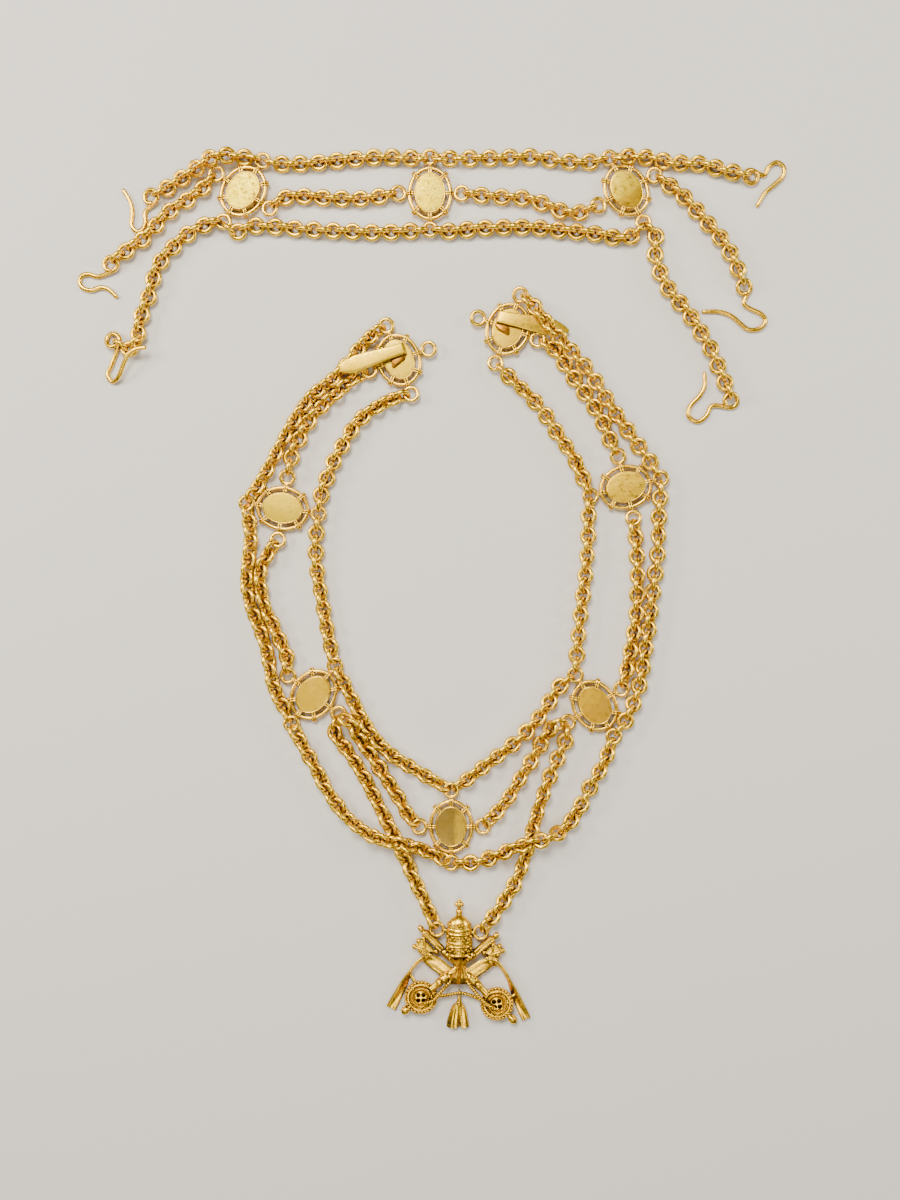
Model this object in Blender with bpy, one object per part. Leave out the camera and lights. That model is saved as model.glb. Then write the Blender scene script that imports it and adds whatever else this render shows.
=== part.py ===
"""Chain of office: a gilt three-row collar in two sections with a crossed-keys badge, laid out on its face.

The nape section carries three oval medallions and ends in six wire hooks. The front section carries seven
medallions, two of them with a clip for the shoulder, and the badge on two strands of its own.
X runs across the collar, Y from the badge to the nape and Z up from the surface that it lies on.
"""
import math

import bmesh
import bpy
from mathutils import Matrix, Vector

# Medallions: an oval case inside an oval wire frame, held by eight ties
FRAME_LENGTH = 0.0243
FRAME_WIDTH = 0.0202
FRAME_WIRE = 0.0018
FRAME_HEIGHT = 0.0027
CASE_LENGTH = 0.0190
CASE_WIDTH = 0.0148
CASE_HEIGHT = 0.0046
CASE_TAPER = 0.0005
TIE_WIDTH = 0.0013
TIE_THICKNESS = 0.0009
TIE_BITE = 0.0007

# Rings at the four ends of each medallion, which carry the strands
RING_DIAMETER = 0.0078
RING_WIRE = 0.0017
RING_STEM = 0.0002

# Shoulder clips: a flat strip soldered to the case, folded over into a tongue
CLIP_THICKNESS = 0.0008
CLIP_FOLD_RISE = 0.0018
CLIP_LEAF = 0.0070
CLIP_LENGTH = 0.0325
CLIP_WIDTH = 0.0073

# Strands of round-link chain, hooks and the clearance between touching pieces
STRAND_DIAMETER = 0.0052
STRAND_STEP = 0.0162
HOOK_WIRE = 0.0021
HOOK_EYE = 0.0082
HOOK_TURN = 276.0
CLEARANCE = 0.0003

# Badge: tiara over crossed keys with ribbons, a cord and a tassel
BADGE_PLACE = (0.0122, -0.1674)
BADGE_HEIGHT = 0.0040
CROWN_WIDTH = 0.0118
CROWN_LENGTH = 0.0186
CROWN_DEPTH = 0.0080
CROWN_FOOT = 0.0034
FINIAL_BALL = 0.0028
FINIAL_NECK = 0.0013
CROSS_HEIGHT = 0.0042
CROSS_SPAN = 0.0038
CROSS_ARM = 0.0012
STUB_WIDTH = 0.0018
STUB_DEPTH = 0.0014
KEY_STEM = 0.0036
BOW_DIAMETER = 0.0154
BOW_THICKNESS = 0.0050
WARD_FOOT = 0.0020
WARD_THICKNESS = 0.0024
STRUT_WIDTH = 0.0014
STRUT_DEPTH = 0.0016
CORD_WIRE = 0.0011
TASSEL_RING = 0.0034
TASSEL_WIRE = 0.0007
TASSEL_THICKNESS = 0.0034
TASSEL_BACK = 0.0019

# Sides of the round wires and steps round the ovals
WIRE_SIDES = 5
RING_STEPS = 10
OVAL_STEPS = 16
HOOK_STEPS = 7
CROWN_SIDES = 12
BOW_SIDES = 12
KEY_SIDES = 6
BALL_SIDES = 6

GOLD = (0.83, 0.60, 0.22)
PLATE_GOLD = (0.86, 0.64, 0.26)

# Headings of a medallion's rings from its long axis
RING_HEADINGS = {"head": 0.0, "left": 90.0, "foot": 180.0, "right": 270.0}

# Medallions: centre x and y, and the heading of the long axis in degrees from +X, towards the head ring
MEDALLIONS = {
    "nape_left": (-0.0846, 0.1787, 57.0),
    "nape_centre": (-0.0009, 0.1777, 90.0),
    "nape_right": (0.0871, 0.1791, 118.0),
    "shoulder_left": (-0.0149, 0.1031, 110.0),
    "shoulder_right": (0.0340, 0.1170, 70.0),
    "chest_left": (-0.0669, 0.0366, 171.4),
    "chest_right": (0.0868, 0.0461, 14.0),
    "side_left": (-0.0532, -0.0468, 53.0),
    "side_right": (0.0729, -0.0517, 122.0),
    "front": (0.0086, -0.1059, 90.0),
}

# Clips: place of the fold on the medallion, heading of the tongue from the long axis, drop of its tip
CLIPS = {
    "shoulder_left": {"fold": (0.0034, -0.0041), "heading": 87.7, "drop": 0.0},
    "shoulder_right": {"fold": (0.0030, 0.0059), "heading": -80.4, "drop": 0.0038},
}

# Tongue of a clip: share of its length from the fold, and share of its full width
CLIP_OUTLINE = ((0.0, 0.76), (0.22, 0.84), (0.45, 0.95), (0.66, 1.0), (0.86, 0.84), (1.0, 0.42))

# Where each strand starts and ends: a medallion's ring, a hook's eye or a ring of the badge
STRAND_ENDS = {
    "tail_left_outer": (("hook_left_outer", "eye"), ("nape_left", "head")),
    "tail_left_middle": (("nape_left", "left"), ("hook_left_middle", "eye")),
    "tail_left_inner": (("nape_left", "foot"), ("hook_left_inner", "eye")),
    "nape_left_top": (("nape_left", "head"), ("nape_centre", "head")),
    "nape_left_middle": (("nape_left", "right"), ("nape_centre", "left")),
    "nape_left_bottom": (("nape_left", "foot"), ("nape_centre", "foot")),
    "nape_right_top": (("nape_centre", "head"), ("nape_right", "head")),
    "nape_right_middle": (("nape_centre", "right"), ("nape_right", "left")),
    "nape_right_bottom": (("nape_centre", "foot"), ("nape_right", "foot")),
    "tail_right_outer": (("nape_right", "head"), ("hook_right_outer", "eye")),
    "tail_right_middle": (("nape_right", "right"), ("hook_right_middle", "eye")),
    "tail_right_inner": (("nape_right", "foot"), ("hook_right_inner", "eye")),
    "shoulder_left_outer": (("shoulder_left", "head"), ("chest_left", "head")),
    "shoulder_left_middle": (("shoulder_left", "left"), ("chest_left", "right")),
    "shoulder_left_inner": (("shoulder_left", "foot"), ("chest_left", "foot")),
    "chest_left_outer": (("chest_left", "head"), ("side_left", "foot")),
    "chest_left_middle": (("chest_left", "left"), ("side_left", "left")),
    "chest_left_inner": (("chest_left", "foot"), ("side_left", "head")),
    "breast_left_inner": (("side_left", "head"), ("front", "head")),
    "breast_left_middle": (("side_left", "right"), ("front", "left")),
    "breast_left_outer": (("side_left", "foot"), ("front", "foot")),
    "badge_left": (("side_left", "right"), ("badge", "left")),
    "shoulder_right_outer": (("shoulder_right", "head"), ("chest_right", "head")),
    "shoulder_right_middle": (("shoulder_right", "right"), ("chest_right", "left")),
    "shoulder_right_inner": (("shoulder_right", "foot"), ("chest_right", "foot")),
    "chest_right_outer": (("chest_right", "head"), ("side_right", "foot")),
    "chest_right_middle": (("chest_right", "right"), ("side_right", "right")),
    "chest_right_inner": (("chest_right", "foot"), ("side_right", "head")),
    "breast_right_inner": (("side_right", "head"), ("front", "head")),
    "breast_right_middle": (("side_right", "left"), ("front", "right")),
    "breast_right_outer": (("side_right", "foot"), ("front", "foot")),
    "badge_right": (("side_right", "left"), ("badge", "right")),
}

# Routes of the strands between their rings: x, y and, where one lies over another, its lift
STRAND_ROUTES = {
    "tail_left_outer": [
        (-0.1188, 0.1800), (-0.1112, 0.1850), (-0.1040, 0.1894, 0.0020), (-0.0984, 0.1927, 0.0046),
        (-0.0927, 0.1938, 0.0042), (-0.0842, 0.1937, 0.0008),
    ],
    "tail_left_middle": [
        (-0.1022, 0.1805), (-0.1089, 0.1751), (-0.1170, 0.1701), (-0.1233, 0.1638),
        (-0.1292, 0.1575), (-0.1368, 0.1521),
    ],
    "tail_left_inner": [
        (-0.1012, 0.1638), (-0.1089, 0.1598), (-0.1152, 0.1543), (-0.1206, 0.1485),
        (-0.1242, 0.1418), (-0.1265, 0.1328), (-0.1296, 0.1247), (-0.1314, 0.1170),
        (-0.1323, 0.1107), (-0.1363, 0.1080),
    ],
    "nape_left_top": [
        (-0.0666, 0.1908), (-0.0549, 0.1912), (-0.0391, 0.1926), (-0.0234, 0.1940),
        (-0.0112, 0.1935),
    ],
    "nape_left_middle": [
        (-0.0652, 0.1760), (-0.0571, 0.1764), (-0.0459, 0.1755), (-0.0315, 0.1753),
        (-0.0229, 0.1764),
    ],
    "nape_left_bottom": [
        (-0.0887, 0.1602), (-0.0819, 0.1629), (-0.0738, 0.1629), (-0.0567, 0.1616),
        (-0.0387, 0.1607), (-0.0243, 0.1602), (-0.0103, 0.1607),
    ],
    "nape_right_top": [
        (0.0081, 0.1933), (0.0266, 0.1935), (0.0455, 0.1940), (0.0576, 0.1922),
        (0.0702, 0.1917),
    ],
    "nape_right_middle": [
        (0.0221, 0.1768), (0.0324, 0.1760), (0.0410, 0.1755), (0.0495, 0.1732),
        (0.0581, 0.1697), (0.0652, 0.1688),
    ],
    "nape_right_bottom": [
        (0.0081, 0.1607), (0.0243, 0.1622), (0.0432, 0.1625), (0.0576, 0.1611),
        (0.0756, 0.1593), (0.0842, 0.1575), (0.0905, 0.1593),
    ],
    "tail_right_outer": [
        (0.0882, 0.1940, 0.0009), (0.0981, 0.1935), (0.1071, 0.1915), (0.1206, 0.1908),
        (0.1305, 0.1881), (0.1368, 0.1868),
    ],
    "tail_right_middle": [
        (0.1062, 0.1813), (0.1130, 0.1760), (0.1224, 0.1656), (0.1305, 0.1562),
        (0.1363, 0.1458),
    ],
    "tail_right_inner": [
        (0.1004, 0.1584), (0.0999, 0.1512), (0.1026, 0.1413), (0.1075, 0.1328),
        (0.1139, 0.1255), (0.1192, 0.1175), (0.1247, 0.1085), (0.1282, 0.1004),
        (0.1314, 0.0927),
    ],
    "shoulder_left_outer": [
        (-0.0270, 0.1139), (-0.0333, 0.1071), (-0.0391, 0.0999), (-0.0456, 0.0933),
        (-0.0515, 0.0889), (-0.0569, 0.0830), (-0.0612, 0.0765), (-0.0657, 0.0689),
        (-0.0738, 0.0536), (-0.0788, 0.0450),
    ],
    "shoulder_left_middle": [
        (-0.0351, 0.0945), (-0.0387, 0.0918), (-0.0430, 0.0876), (-0.0483, 0.0832),
        (-0.0546, 0.0764), (-0.0585, 0.0693), (-0.0621, 0.0626),
    ],
    "shoulder_left_inner": [
        (-0.0176, 0.0855), (-0.0270, 0.0805), (-0.0338, 0.0747), (-0.0387, 0.0670),
        (-0.0432, 0.0594), (-0.0468, 0.0509), (-0.0495, 0.0432),
    ],
    "chest_left_outer": [
        (-0.0817, 0.0297), (-0.0812, 0.0225), (-0.0821, 0.0135), (-0.0829, 0.0045),
        (-0.0821, -0.0027), (-0.0805, -0.0090), (-0.0779, -0.0153), (-0.0742, -0.0261),
        (-0.0726, -0.0342, 0.0009), (-0.0715, -0.0400, 0.0016), (-0.0693, -0.0470, 0.0006),
        (-0.0664, -0.0522),
    ],
    "chest_left_middle": [
        (-0.0729, 0.0167), (-0.0765, 0.0103), (-0.0770, 0.0040), (-0.0760, -0.0027),
        (-0.0742, -0.0090), (-0.0715, -0.0148), (-0.0680, -0.0229), (-0.0652, -0.0292),
    ],
    "chest_left_inner": [
        (-0.0518, 0.0252), (-0.0520, 0.0167), (-0.0513, 0.0072), (-0.0497, -0.0022),
        (-0.0477, -0.0135), (-0.0455, -0.0248),
    ],
    "breast_left_inner": [
        (-0.0389, -0.0426), (-0.0348, -0.0507), (-0.0302, -0.0594), (-0.0239, -0.0684),
        (-0.0167, -0.0749), (-0.0081, -0.0801), (0.0000, -0.0850),
    ],
    "breast_left_middle": [
        (-0.0360, -0.0594, 0.0057), (-0.0333, -0.0644, 0.0030), (-0.0302, -0.0698), (-0.0274, -0.0734),
        (-0.0221, -0.0819), (-0.0148, -0.0932), (-0.0112, -0.0999),
    ],
    "breast_left_outer": [
        (-0.0585, -0.0684), (-0.0522, -0.0797), (-0.0477, -0.0882), (-0.0428, -0.0959),
        (-0.0374, -0.1022, 0.0004), (-0.0306, -0.1075, 0.0026), (-0.0229, -0.1112, 0.0052),
        (-0.0158, -0.1125, 0.0062), (-0.0086, -0.1143, 0.0052), (-0.0009, -0.1175, 0.0016),
    ],
    "badge_left": [
        (-0.0436, -0.0640), (-0.0406, -0.0684), (-0.0356, -0.0752), (-0.0306, -0.0832),
        (-0.0266, -0.0909), (-0.0221, -0.0999), (-0.0176, -0.1089), (-0.0144, -0.1161),
        (-0.0112, -0.1220), (-0.0077, -0.1301), (-0.0040, -0.1377), (-0.0009, -0.1445),
    ],
    "shoulder_right_outer": [
        (0.0448, 0.1274, 0.0042), (0.0500, 0.1206, 0.0061), (0.0558, 0.1134, 0.0059),
        (0.0626, 0.1062, 0.0032), (0.0698, 0.0985), (0.0752, 0.0905), (0.0805, 0.0819),
        (0.0864, 0.0734), (0.0922, 0.0652), (0.0977, 0.0576),
    ],
    "shoulder_right_middle": [
        (0.0536, 0.1089), (0.0576, 0.1044), (0.0612, 0.0985), (0.0662, 0.0914),
        (0.0711, 0.0846), (0.0760, 0.0765), (0.0797, 0.0675),
    ],
    "shoulder_right_inner": [
        (0.0342, 0.0959), (0.0410, 0.0895), (0.0472, 0.0832), (0.0513, 0.0779),
        (0.0558, 0.0707), (0.0608, 0.0635), (0.0652, 0.0558), (0.0680, 0.0495),
    ],
    "chest_right_outer": [
        (0.1022, 0.0410), (0.1017, 0.0306), (0.1012, 0.0171), (0.0999, 0.0059),
        (0.0985, -0.0050), (0.0972, -0.0171), (0.0952, -0.0297), (0.0935, -0.0405),
        (0.0903, -0.0509), (0.0864, -0.0590),
    ],
    "chest_right_middle": [
        (0.0914, 0.0225), (0.0920, 0.0108), (0.0922, -0.0009), (0.0916, -0.0112),
        (0.0900, -0.0216), (0.0878, -0.0338),
    ],
    "chest_right_inner": [
        (0.0702, 0.0329), (0.0700, 0.0229), (0.0693, 0.0131), (0.0684, 0.0027),
        (0.0670, -0.0077), (0.0659, -0.0176), (0.0650, -0.0279),
    ],
    "breast_right_inner": [
        (0.0581, -0.0423), (0.0536, -0.0486), (0.0491, -0.0554), (0.0446, -0.0612),
        (0.0387, -0.0670), (0.0315, -0.0729), (0.0243, -0.0783), (0.0167, -0.0842),
    ],
    "breast_right_middle": [
        (0.0549, -0.0603, 0.0061), (0.0522, -0.0630, 0.0042), (0.0491, -0.0684, 0.0004), (0.0446, -0.0765),
        (0.0396, -0.0842), (0.0351, -0.0918), (0.0297, -0.0990),
    ],
    "breast_right_outer": [
        (0.0792, -0.0720), (0.0765, -0.0788), (0.0720, -0.0860), (0.0689, -0.0927),
        (0.0652, -0.0990), (0.0603, -0.1058, 0.0010), (0.0531, -0.1102, 0.0048),
        (0.0450, -0.1125, 0.0062), (0.0369, -0.1148, 0.0056), (0.0297, -0.1184, 0.0024),
        (0.0234, -0.1210, 0.0003), (0.0162, -0.1224),
    ],
    "badge_right": [
        (0.0603, -0.0662), (0.0571, -0.0738), (0.0536, -0.0815), (0.0509, -0.0887),
        (0.0486, -0.0954), (0.0459, -0.1044), (0.0436, -0.1130), (0.0410, -0.1220),
        (0.0374, -0.1310), (0.0319, -0.1400), (0.0270, -0.1467),
    ],
}

# Hooks: the middle of the eye, the side that the wire leaves it on (1 or -1), and the bends to the tip
HOOKS = {
    "left_outer": ((-0.1260, 0.1764), 1, [
        (-0.1287, 0.1700), (-0.1287, 0.1656), (-0.1301, 0.1620), (-0.1328, 0.1611),
        (-0.1350, 0.1642), (-0.1346, 0.1697), (-0.1355, 0.1742), (-0.1386, 0.1796),
    ]),
    "left_middle": ((-0.1440, 0.1462), 1, [
        (-0.1498, 0.1408), (-0.1539, 0.1418), (-0.1571, 0.1413), (-0.1584, 0.1382),
        (-0.1566, 0.1355), (-0.1530, 0.1346), (-0.1490, 0.1359), (-0.1453, 0.1350),
        (-0.1418, 0.1318),
    ]),
    "left_inner": ((-0.1431, 0.1120), 1, [
        (-0.1425, 0.1049), (-0.1440, 0.1008), (-0.1458, 0.0968), (-0.1436, 0.0936, 0.0003),
        (-0.1404, 0.0954, 0.0020), (-0.1377, 0.1008, 0.0040), (-0.1350, 0.1053, 0.0056),
        (-0.1314, 0.1075, 0.0056), (-0.1278, 0.1080, 0.0054),
    ]),
    "right_outer": ((0.1431, 0.1854), 1, [
        (0.1490, 0.1863), (0.1512, 0.1899), (0.1548, 0.1922), (0.1580, 0.1899),
        (0.1575, 0.1858), (0.1535, 0.1818), (0.1494, 0.1782), (0.1462, 0.1728),
    ]),
    "right_middle": ((0.1400, 0.1359), 1, [
        (0.1400, 0.1292), (0.1427, 0.1265), (0.1476, 0.1242), (0.1498, 0.1210),
        (0.1472, 0.1175), (0.1422, 0.1170), (0.1386, 0.1197), (0.1341, 0.1233),
        (0.1287, 0.1251), (0.1220, 0.1251),
    ]),
    "right_inner": ((0.1341, 0.0850), 1, [
        (0.1260, 0.0828), (0.1233, 0.0783), (0.1192, 0.0756), (0.1152, 0.0783),
        (0.1161, 0.0828), (0.1202, 0.0873), (0.1224, 0.0918), (0.1224, 0.0972),
    ]),
}

# Badge, with x and y from its middle: rings, tips and bows of the two keys
BADGE_RINGS = {"left": (-0.0099, 0.0157), "right": (0.0095, 0.0144)}
KEYS = {
    "falling": {"tip": (-0.0184, 0.0171), "bow": (0.0169, -0.0178), "height": 0.0034},
    "rising": {"tip": (0.0178, 0.0139), "bow": (-0.0171, -0.0149), "height": 0.0038},
}

# Tiara's turned outline: share of its length from the foot, and radius as a share of half its width
CROWN_OUTLINE = (
    (0.0, 0.64), (0.05, 0.84), (0.12, 0.86), (0.30, 0.95), (0.36, 1.0), (0.42, 0.95), (0.60, 0.90),
    (0.66, 0.94), (0.80, 0.80), (0.92, 0.52), (1.0, 0.20),
)
BALL_OUTLINE = ((0.0, 0.29), (0.25, 0.46), (0.75, 0.46), (1.0, 0.29))

# Face of a key's bow: share of its radius and share of its thickness
BOW_OUTLINE = ((0.90, 0.0), (1.0, 0.4), (0.95, 1.0), (0.78, 1.0), (0.70, 0.86), (0.40, 0.86), (0.34, 1.04))

# A key's turned outline: share of the way from tip to bow, and radius as a share of half the stem
KEY_OUTLINE = (
    (0.0, 0.45), (0.03, 0.75), (0.08, 0.55), (0.11, 1.05), (0.30, 1.05), (0.33, 0.75), (0.37, 1.15),
    (0.41, 0.75), (0.60, 0.80), (0.70, 1.35), (0.78, 1.0), (0.87, 0.9),
)
KEY_END = ((1.13, 0.45), (1.155, 0.45), (1.17, 0.9), (1.20, 1.0), (1.23, 0.6))

# Wards of the keys: x and y from the middle of the badge
WARDS = {
    "falling": (
        (-0.0158, 0.0126), (-0.0189, 0.0113), (-0.0212, 0.0081), (-0.0185, 0.0059), (-0.0167, 0.0063),
        (-0.0171, 0.0041), (-0.0144, 0.0018), (-0.0122, 0.0032), (-0.0126, 0.0054), (-0.0090, 0.0054),
    ),
    "rising": (
        (0.0149, 0.0099), (0.0189, 0.0090), (0.0207, 0.0063), (0.0185, 0.0041), (0.0167, 0.0032),
        (0.0167, 0.0009), (0.0140, -0.0005), (0.0117, 0.0018), (0.0126, 0.0041), (0.0099, 0.0054),
    ),
}

# Ribbons: x, y, height of the middle, width in plan and depth in Z along each
RIBBONS = {
    "left": (
        (-0.0050, -0.0042, 0.0030, 0.0054, 0.0012), (-0.0104, 0.0006, 0.0030, 0.0054, 0.0010),
        (-0.0144, 0.0022, 0.0030, 0.0036, 0.0024), (-0.0181, 0.0012, 0.0030, 0.0014, 0.0040),
        (-0.0216, -0.0038, 0.0030, 0.0016, 0.0040), (-0.0254, -0.0102, 0.0024, 0.0032, 0.0024),
        (-0.0306, -0.0203, 0.0012, 0.0046, 0.0010),
    ),
    "right": (
        (0.0046, -0.0048, 0.0030, 0.0052, 0.0012), (0.0104, -0.0006, 0.0030, 0.0050, 0.0010),
        (0.0148, 0.0008, 0.0030, 0.0030, 0.0026), (0.0193, -0.0018, 0.0030, 0.0014, 0.0040),
        (0.0225, -0.0081, 0.0030, 0.0022, 0.0034), (0.0261, -0.0162, 0.0022, 0.0036, 0.0022),
        (0.0302, -0.0252, 0.0012, 0.0040, 0.0010),
    ),
}

# Corners of the faceted plate over the crossing of the keys: x, y and z
GUSSET = (
    (0.0004, 0.0044, 0.0010), (-0.0076, -0.0068, 0.0010),
    (0.0008, -0.0086, 0.0010), (0.0086, -0.0056, 0.0010),
    (-0.0070, -0.0064, 0.0046), (0.0008, -0.0082, 0.0050), (0.0080, -0.0054, 0.0046),
    (0.0005, 0.0040, 0.0052), (0.0008, -0.0050, 0.0066),
)

# Struts between ribbon and bow, and the three runs of the twisted cord: x, y and z
STRUTS = (
    ((-0.0214, -0.0042, 0.0028), (-0.0186, -0.0090, 0.0026)),
    ((0.0246, -0.0126, 0.0026), (0.0222, -0.0146, 0.0026)),
)
CORD_RUNS = (
    ((-0.0130, -0.0171, 0.0046), (-0.0094, -0.0132, 0.0052), (-0.0040, -0.0076, 0.0040)),
    ((0.0030, -0.0072, 0.0040), (0.0086, -0.0140, 0.0052), (0.0148, -0.0198, 0.0046)),
    ((-0.0104, -0.0146, 0.0024), (-0.0050, -0.0137, 0.0027), (0.0000, -0.0131, 0.0028),
     (0.0050, -0.0140, 0.0027), (0.0104, -0.0164, 0.0024)),
)

# Tassel: where its ring hangs on the cord, and the outline of its two lobes from there
TASSEL_PLACE = (0.0000, -0.0131, 0.0028)
TASSEL_OUTLINE = (
    (-0.0007, -0.0012), (0.0007, -0.0012), (0.0010, -0.0045), (0.0024, -0.0070), (0.0041, -0.0120),
    (0.0043, -0.0158), (0.0006, -0.0164), (-0.0008, -0.0146), (-0.0019, -0.0160), (-0.0056, -0.0142),
    (-0.0040, -0.0082), (-0.0012, -0.0045),
)


def clear_scene():
    for item in list(bpy.data.objects):
        bpy.data.objects.remove(item, do_unlink=True)


def gilt(name, colour, roughness):
    material = bpy.data.materials.new(name)
    material.use_nodes = True
    shader = material.node_tree.nodes["Principled BSDF"]
    shader.inputs["Base Color"].default_value = (*colour, 1.0)
    shader.inputs["Metallic"].default_value = 1.0
    shader.inputs["Roughness"].default_value = roughness
    return material


def mesh_object(name, shape):
    """Turn a bmesh into an object whose faces point outwards."""
    bmesh.ops.recalc_face_normals(shape, faces=shape.faces)
    mesh = bpy.data.meshes.new(name)
    shape.to_mesh(mesh)
    shape.free()
    item = bpy.data.objects.new(name, mesh)
    bpy.context.scene.collection.objects.link(item)
    return item


def skin(name, rings, closed=False):
    """Join rings of points into one surface, capped at both ends unless the rings close on themselves."""
    shape = bmesh.new()
    rows = [[shape.verts.new(point) for point in ring] for ring in rings]
    pairs = list(zip(rows, rows[1:]))
    if closed:
        pairs.append((rows[-1], rows[0]))
    for first, second in pairs:
        for i in range(len(first)):
            j = (i + 1) % len(first)
            shape.faces.new((first[i], first[j], second[j], second[i]))
    if not closed:
        shape.faces.new(rows[0])
        shape.faces.new(rows[-1])
    return mesh_object(name, shape)


def round_section(centre, forward, radius, sides):
    """Points round a wire that runs along forward, with one corner straight up."""
    side = forward.cross(Vector((0.0, 0.0, 1.0))).normalized()
    up = side.cross(forward).normalized()
    turns = [math.tau * i / sides for i in range(sides)]
    return [centre + radius * (math.sin(a) * side + math.cos(a) * up) for a in turns]


def wire(name, points, diameter, closed=False, sides=WIRE_SIDES):
    """A round wire along points."""
    points = [Vector(point) for point in points]
    last = len(points) - 1
    rings = []
    for i, point in enumerate(points):
        before = points[i - 1] if i > 0 or closed else point
        after = points[(i + 1) % len(points)] if i < last or closed else point
        rings.append(round_section(point, (after - before).normalized(), diameter / 2, sides))
    return skin(name, rings, closed)


def on_oval(length, width, height, angle):
    return Vector((length / 2 * math.cos(angle), width / 2 * math.sin(angle), height))


def oval(length, width, height, steps):
    """Corners of a straight-sided oval round the true one, which it touches in the middle of each side."""
    grow = 1.0 / math.cos(math.pi / steps)
    return [on_oval(length * grow, width * grow, height, math.tau * (i + 0.5) / steps) for i in range(steps)]


def ring_wire(name, reach, height, heading):
    """A ring in the plane of X and Y whose middle lies at reach from the origin, under heading."""
    across = RING_DIAMETER - RING_WIRE
    turn = Matrix.Rotation(math.radians(heading), 3, "Z")
    points = [turn @ (p + Vector((reach, 0.0, height))) for p in oval(across, across, 0.0, RING_STEPS)]
    return wire(name, points, RING_WIRE, closed=True)


def turned(name, start, end, outline, sides):
    """A turned piece along the line from start to end; outline rows are share of the way and radius."""
    start, end = Vector(start), Vector(end)
    forward = (end - start).normalized()
    rings = [round_section(start.lerp(end, share), forward, radius, sides) for share, radius in outline]
    return skin(name, rings)


def bar(name, start, end, width, depth):
    """A straight bar of rectangular section."""
    start, end = Vector(start), Vector(end)
    side = (end - start).cross(Vector((0.0, 0.0, 1.0))).normalized() * width / 2
    up = Vector((0.0, 0.0, depth / 2))
    corners = [side + up, side - up, -side - up, -side + up]
    return skin(name, [[start + c for c in corners], [end + c for c in corners]])


def flat_band(name, rows):
    """A band of rectangular section; rows are x, y, height of the middle, width in plan and depth in Z."""
    centres = [Vector(row[:3]) for row in rows]
    rings = []
    for i, row in enumerate(rows):
        forward = centres[min(i + 1, len(rows) - 1)] - centres[max(i - 1, 0)]
        side = forward.cross(Vector((0.0, 0.0, 1.0))).normalized() * row[3] / 2
        up = Vector((0.0, 0.0, row[4] / 2))
        rings.append([centres[i] + c for c in (side + up, side - up, -side - up, -side + up)])
    return skin(name, rings)


def prism(name, outline, low, high):
    return skin(name, [[Vector((x, y, low)) for x, y in outline], [Vector((x, y, high)) for x, y in outline]])


def fuse(name, pieces):
    """Solder pieces that overlap into one closed solid."""
    body, others = pieces[0], pieces[1:]
    group = bpy.data.collections.new(name + "_pieces")
    for piece in others:
        group.objects.link(piece)
    union = body.modifiers.new("solder", "BOOLEAN")
    union.operation = "UNION"
    union.operand_type = "COLLECTION"
    union.collection = group
    union.solver = "EXACT"
    mesh = bpy.data.meshes.new_from_object(body.evaluated_get(bpy.context.evaluated_depsgraph_get()))
    mesh.name = name
    for piece in pieces:
        bpy.data.objects.remove(piece, do_unlink=True)
    bpy.data.collections.remove(group)
    return mesh


def place(name, mesh, material, x=0.0, y=0.0, heading=0.0):
    mesh.materials.clear()
    mesh.materials.append(material)
    mesh.shade_smooth()
    mesh.set_sharp_from_angle(angle=math.radians(40.0))
    item = bpy.data.objects.new(name, mesh)
    item.location = (x, y, 0.0)
    item.rotation_euler.z = math.radians(heading)
    bpy.context.scene.collection.objects.link(item)
    return item


def ring_reach(side):
    """Distance from a medallion's middle to the middle of one of its rings."""
    span = FRAME_LENGTH if side in ("head", "foot") else FRAME_WIDTH
    return span / 2 + RING_STEM + RING_DIAMETER / 2


def medallion_pieces():
    """Case, frame, ties and rings of a medallion that lies along +X."""
    case = skin("case", [
        oval(CASE_LENGTH, CASE_WIDTH, 0.0, OVAL_STEPS),
        oval(CASE_LENGTH - 2 * CASE_TAPER, CASE_WIDTH - 2 * CASE_TAPER, CASE_HEIGHT, OVAL_STEPS),
    ])
    frame_size = (FRAME_LENGTH - FRAME_WIRE, FRAME_WIDTH - FRAME_WIRE, FRAME_HEIGHT)
    pieces = [case, wire("frame", oval(*frame_size, OVAL_STEPS), FRAME_WIRE, closed=True)]
    for i in range(8):
        angle = math.radians(45.0 * i)
        start = on_oval(CASE_LENGTH - 2 * TIE_BITE, CASE_WIDTH - 2 * TIE_BITE, FRAME_HEIGHT, angle)
        end = on_oval(*frame_size, angle)
        if i % 2 == 0:
            end += (end - start).normalized() * (FRAME_WIRE / 2 + RING_STEM + RING_WIRE / 2)
        pieces.append(bar("tie", start, end, TIE_WIDTH, TIE_THICKNESS))
    for side, heading in RING_HEADINGS.items():
        pieces.append(ring_wire("ring", ring_reach(side), FRAME_HEIGHT, heading))
    return pieces


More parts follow.
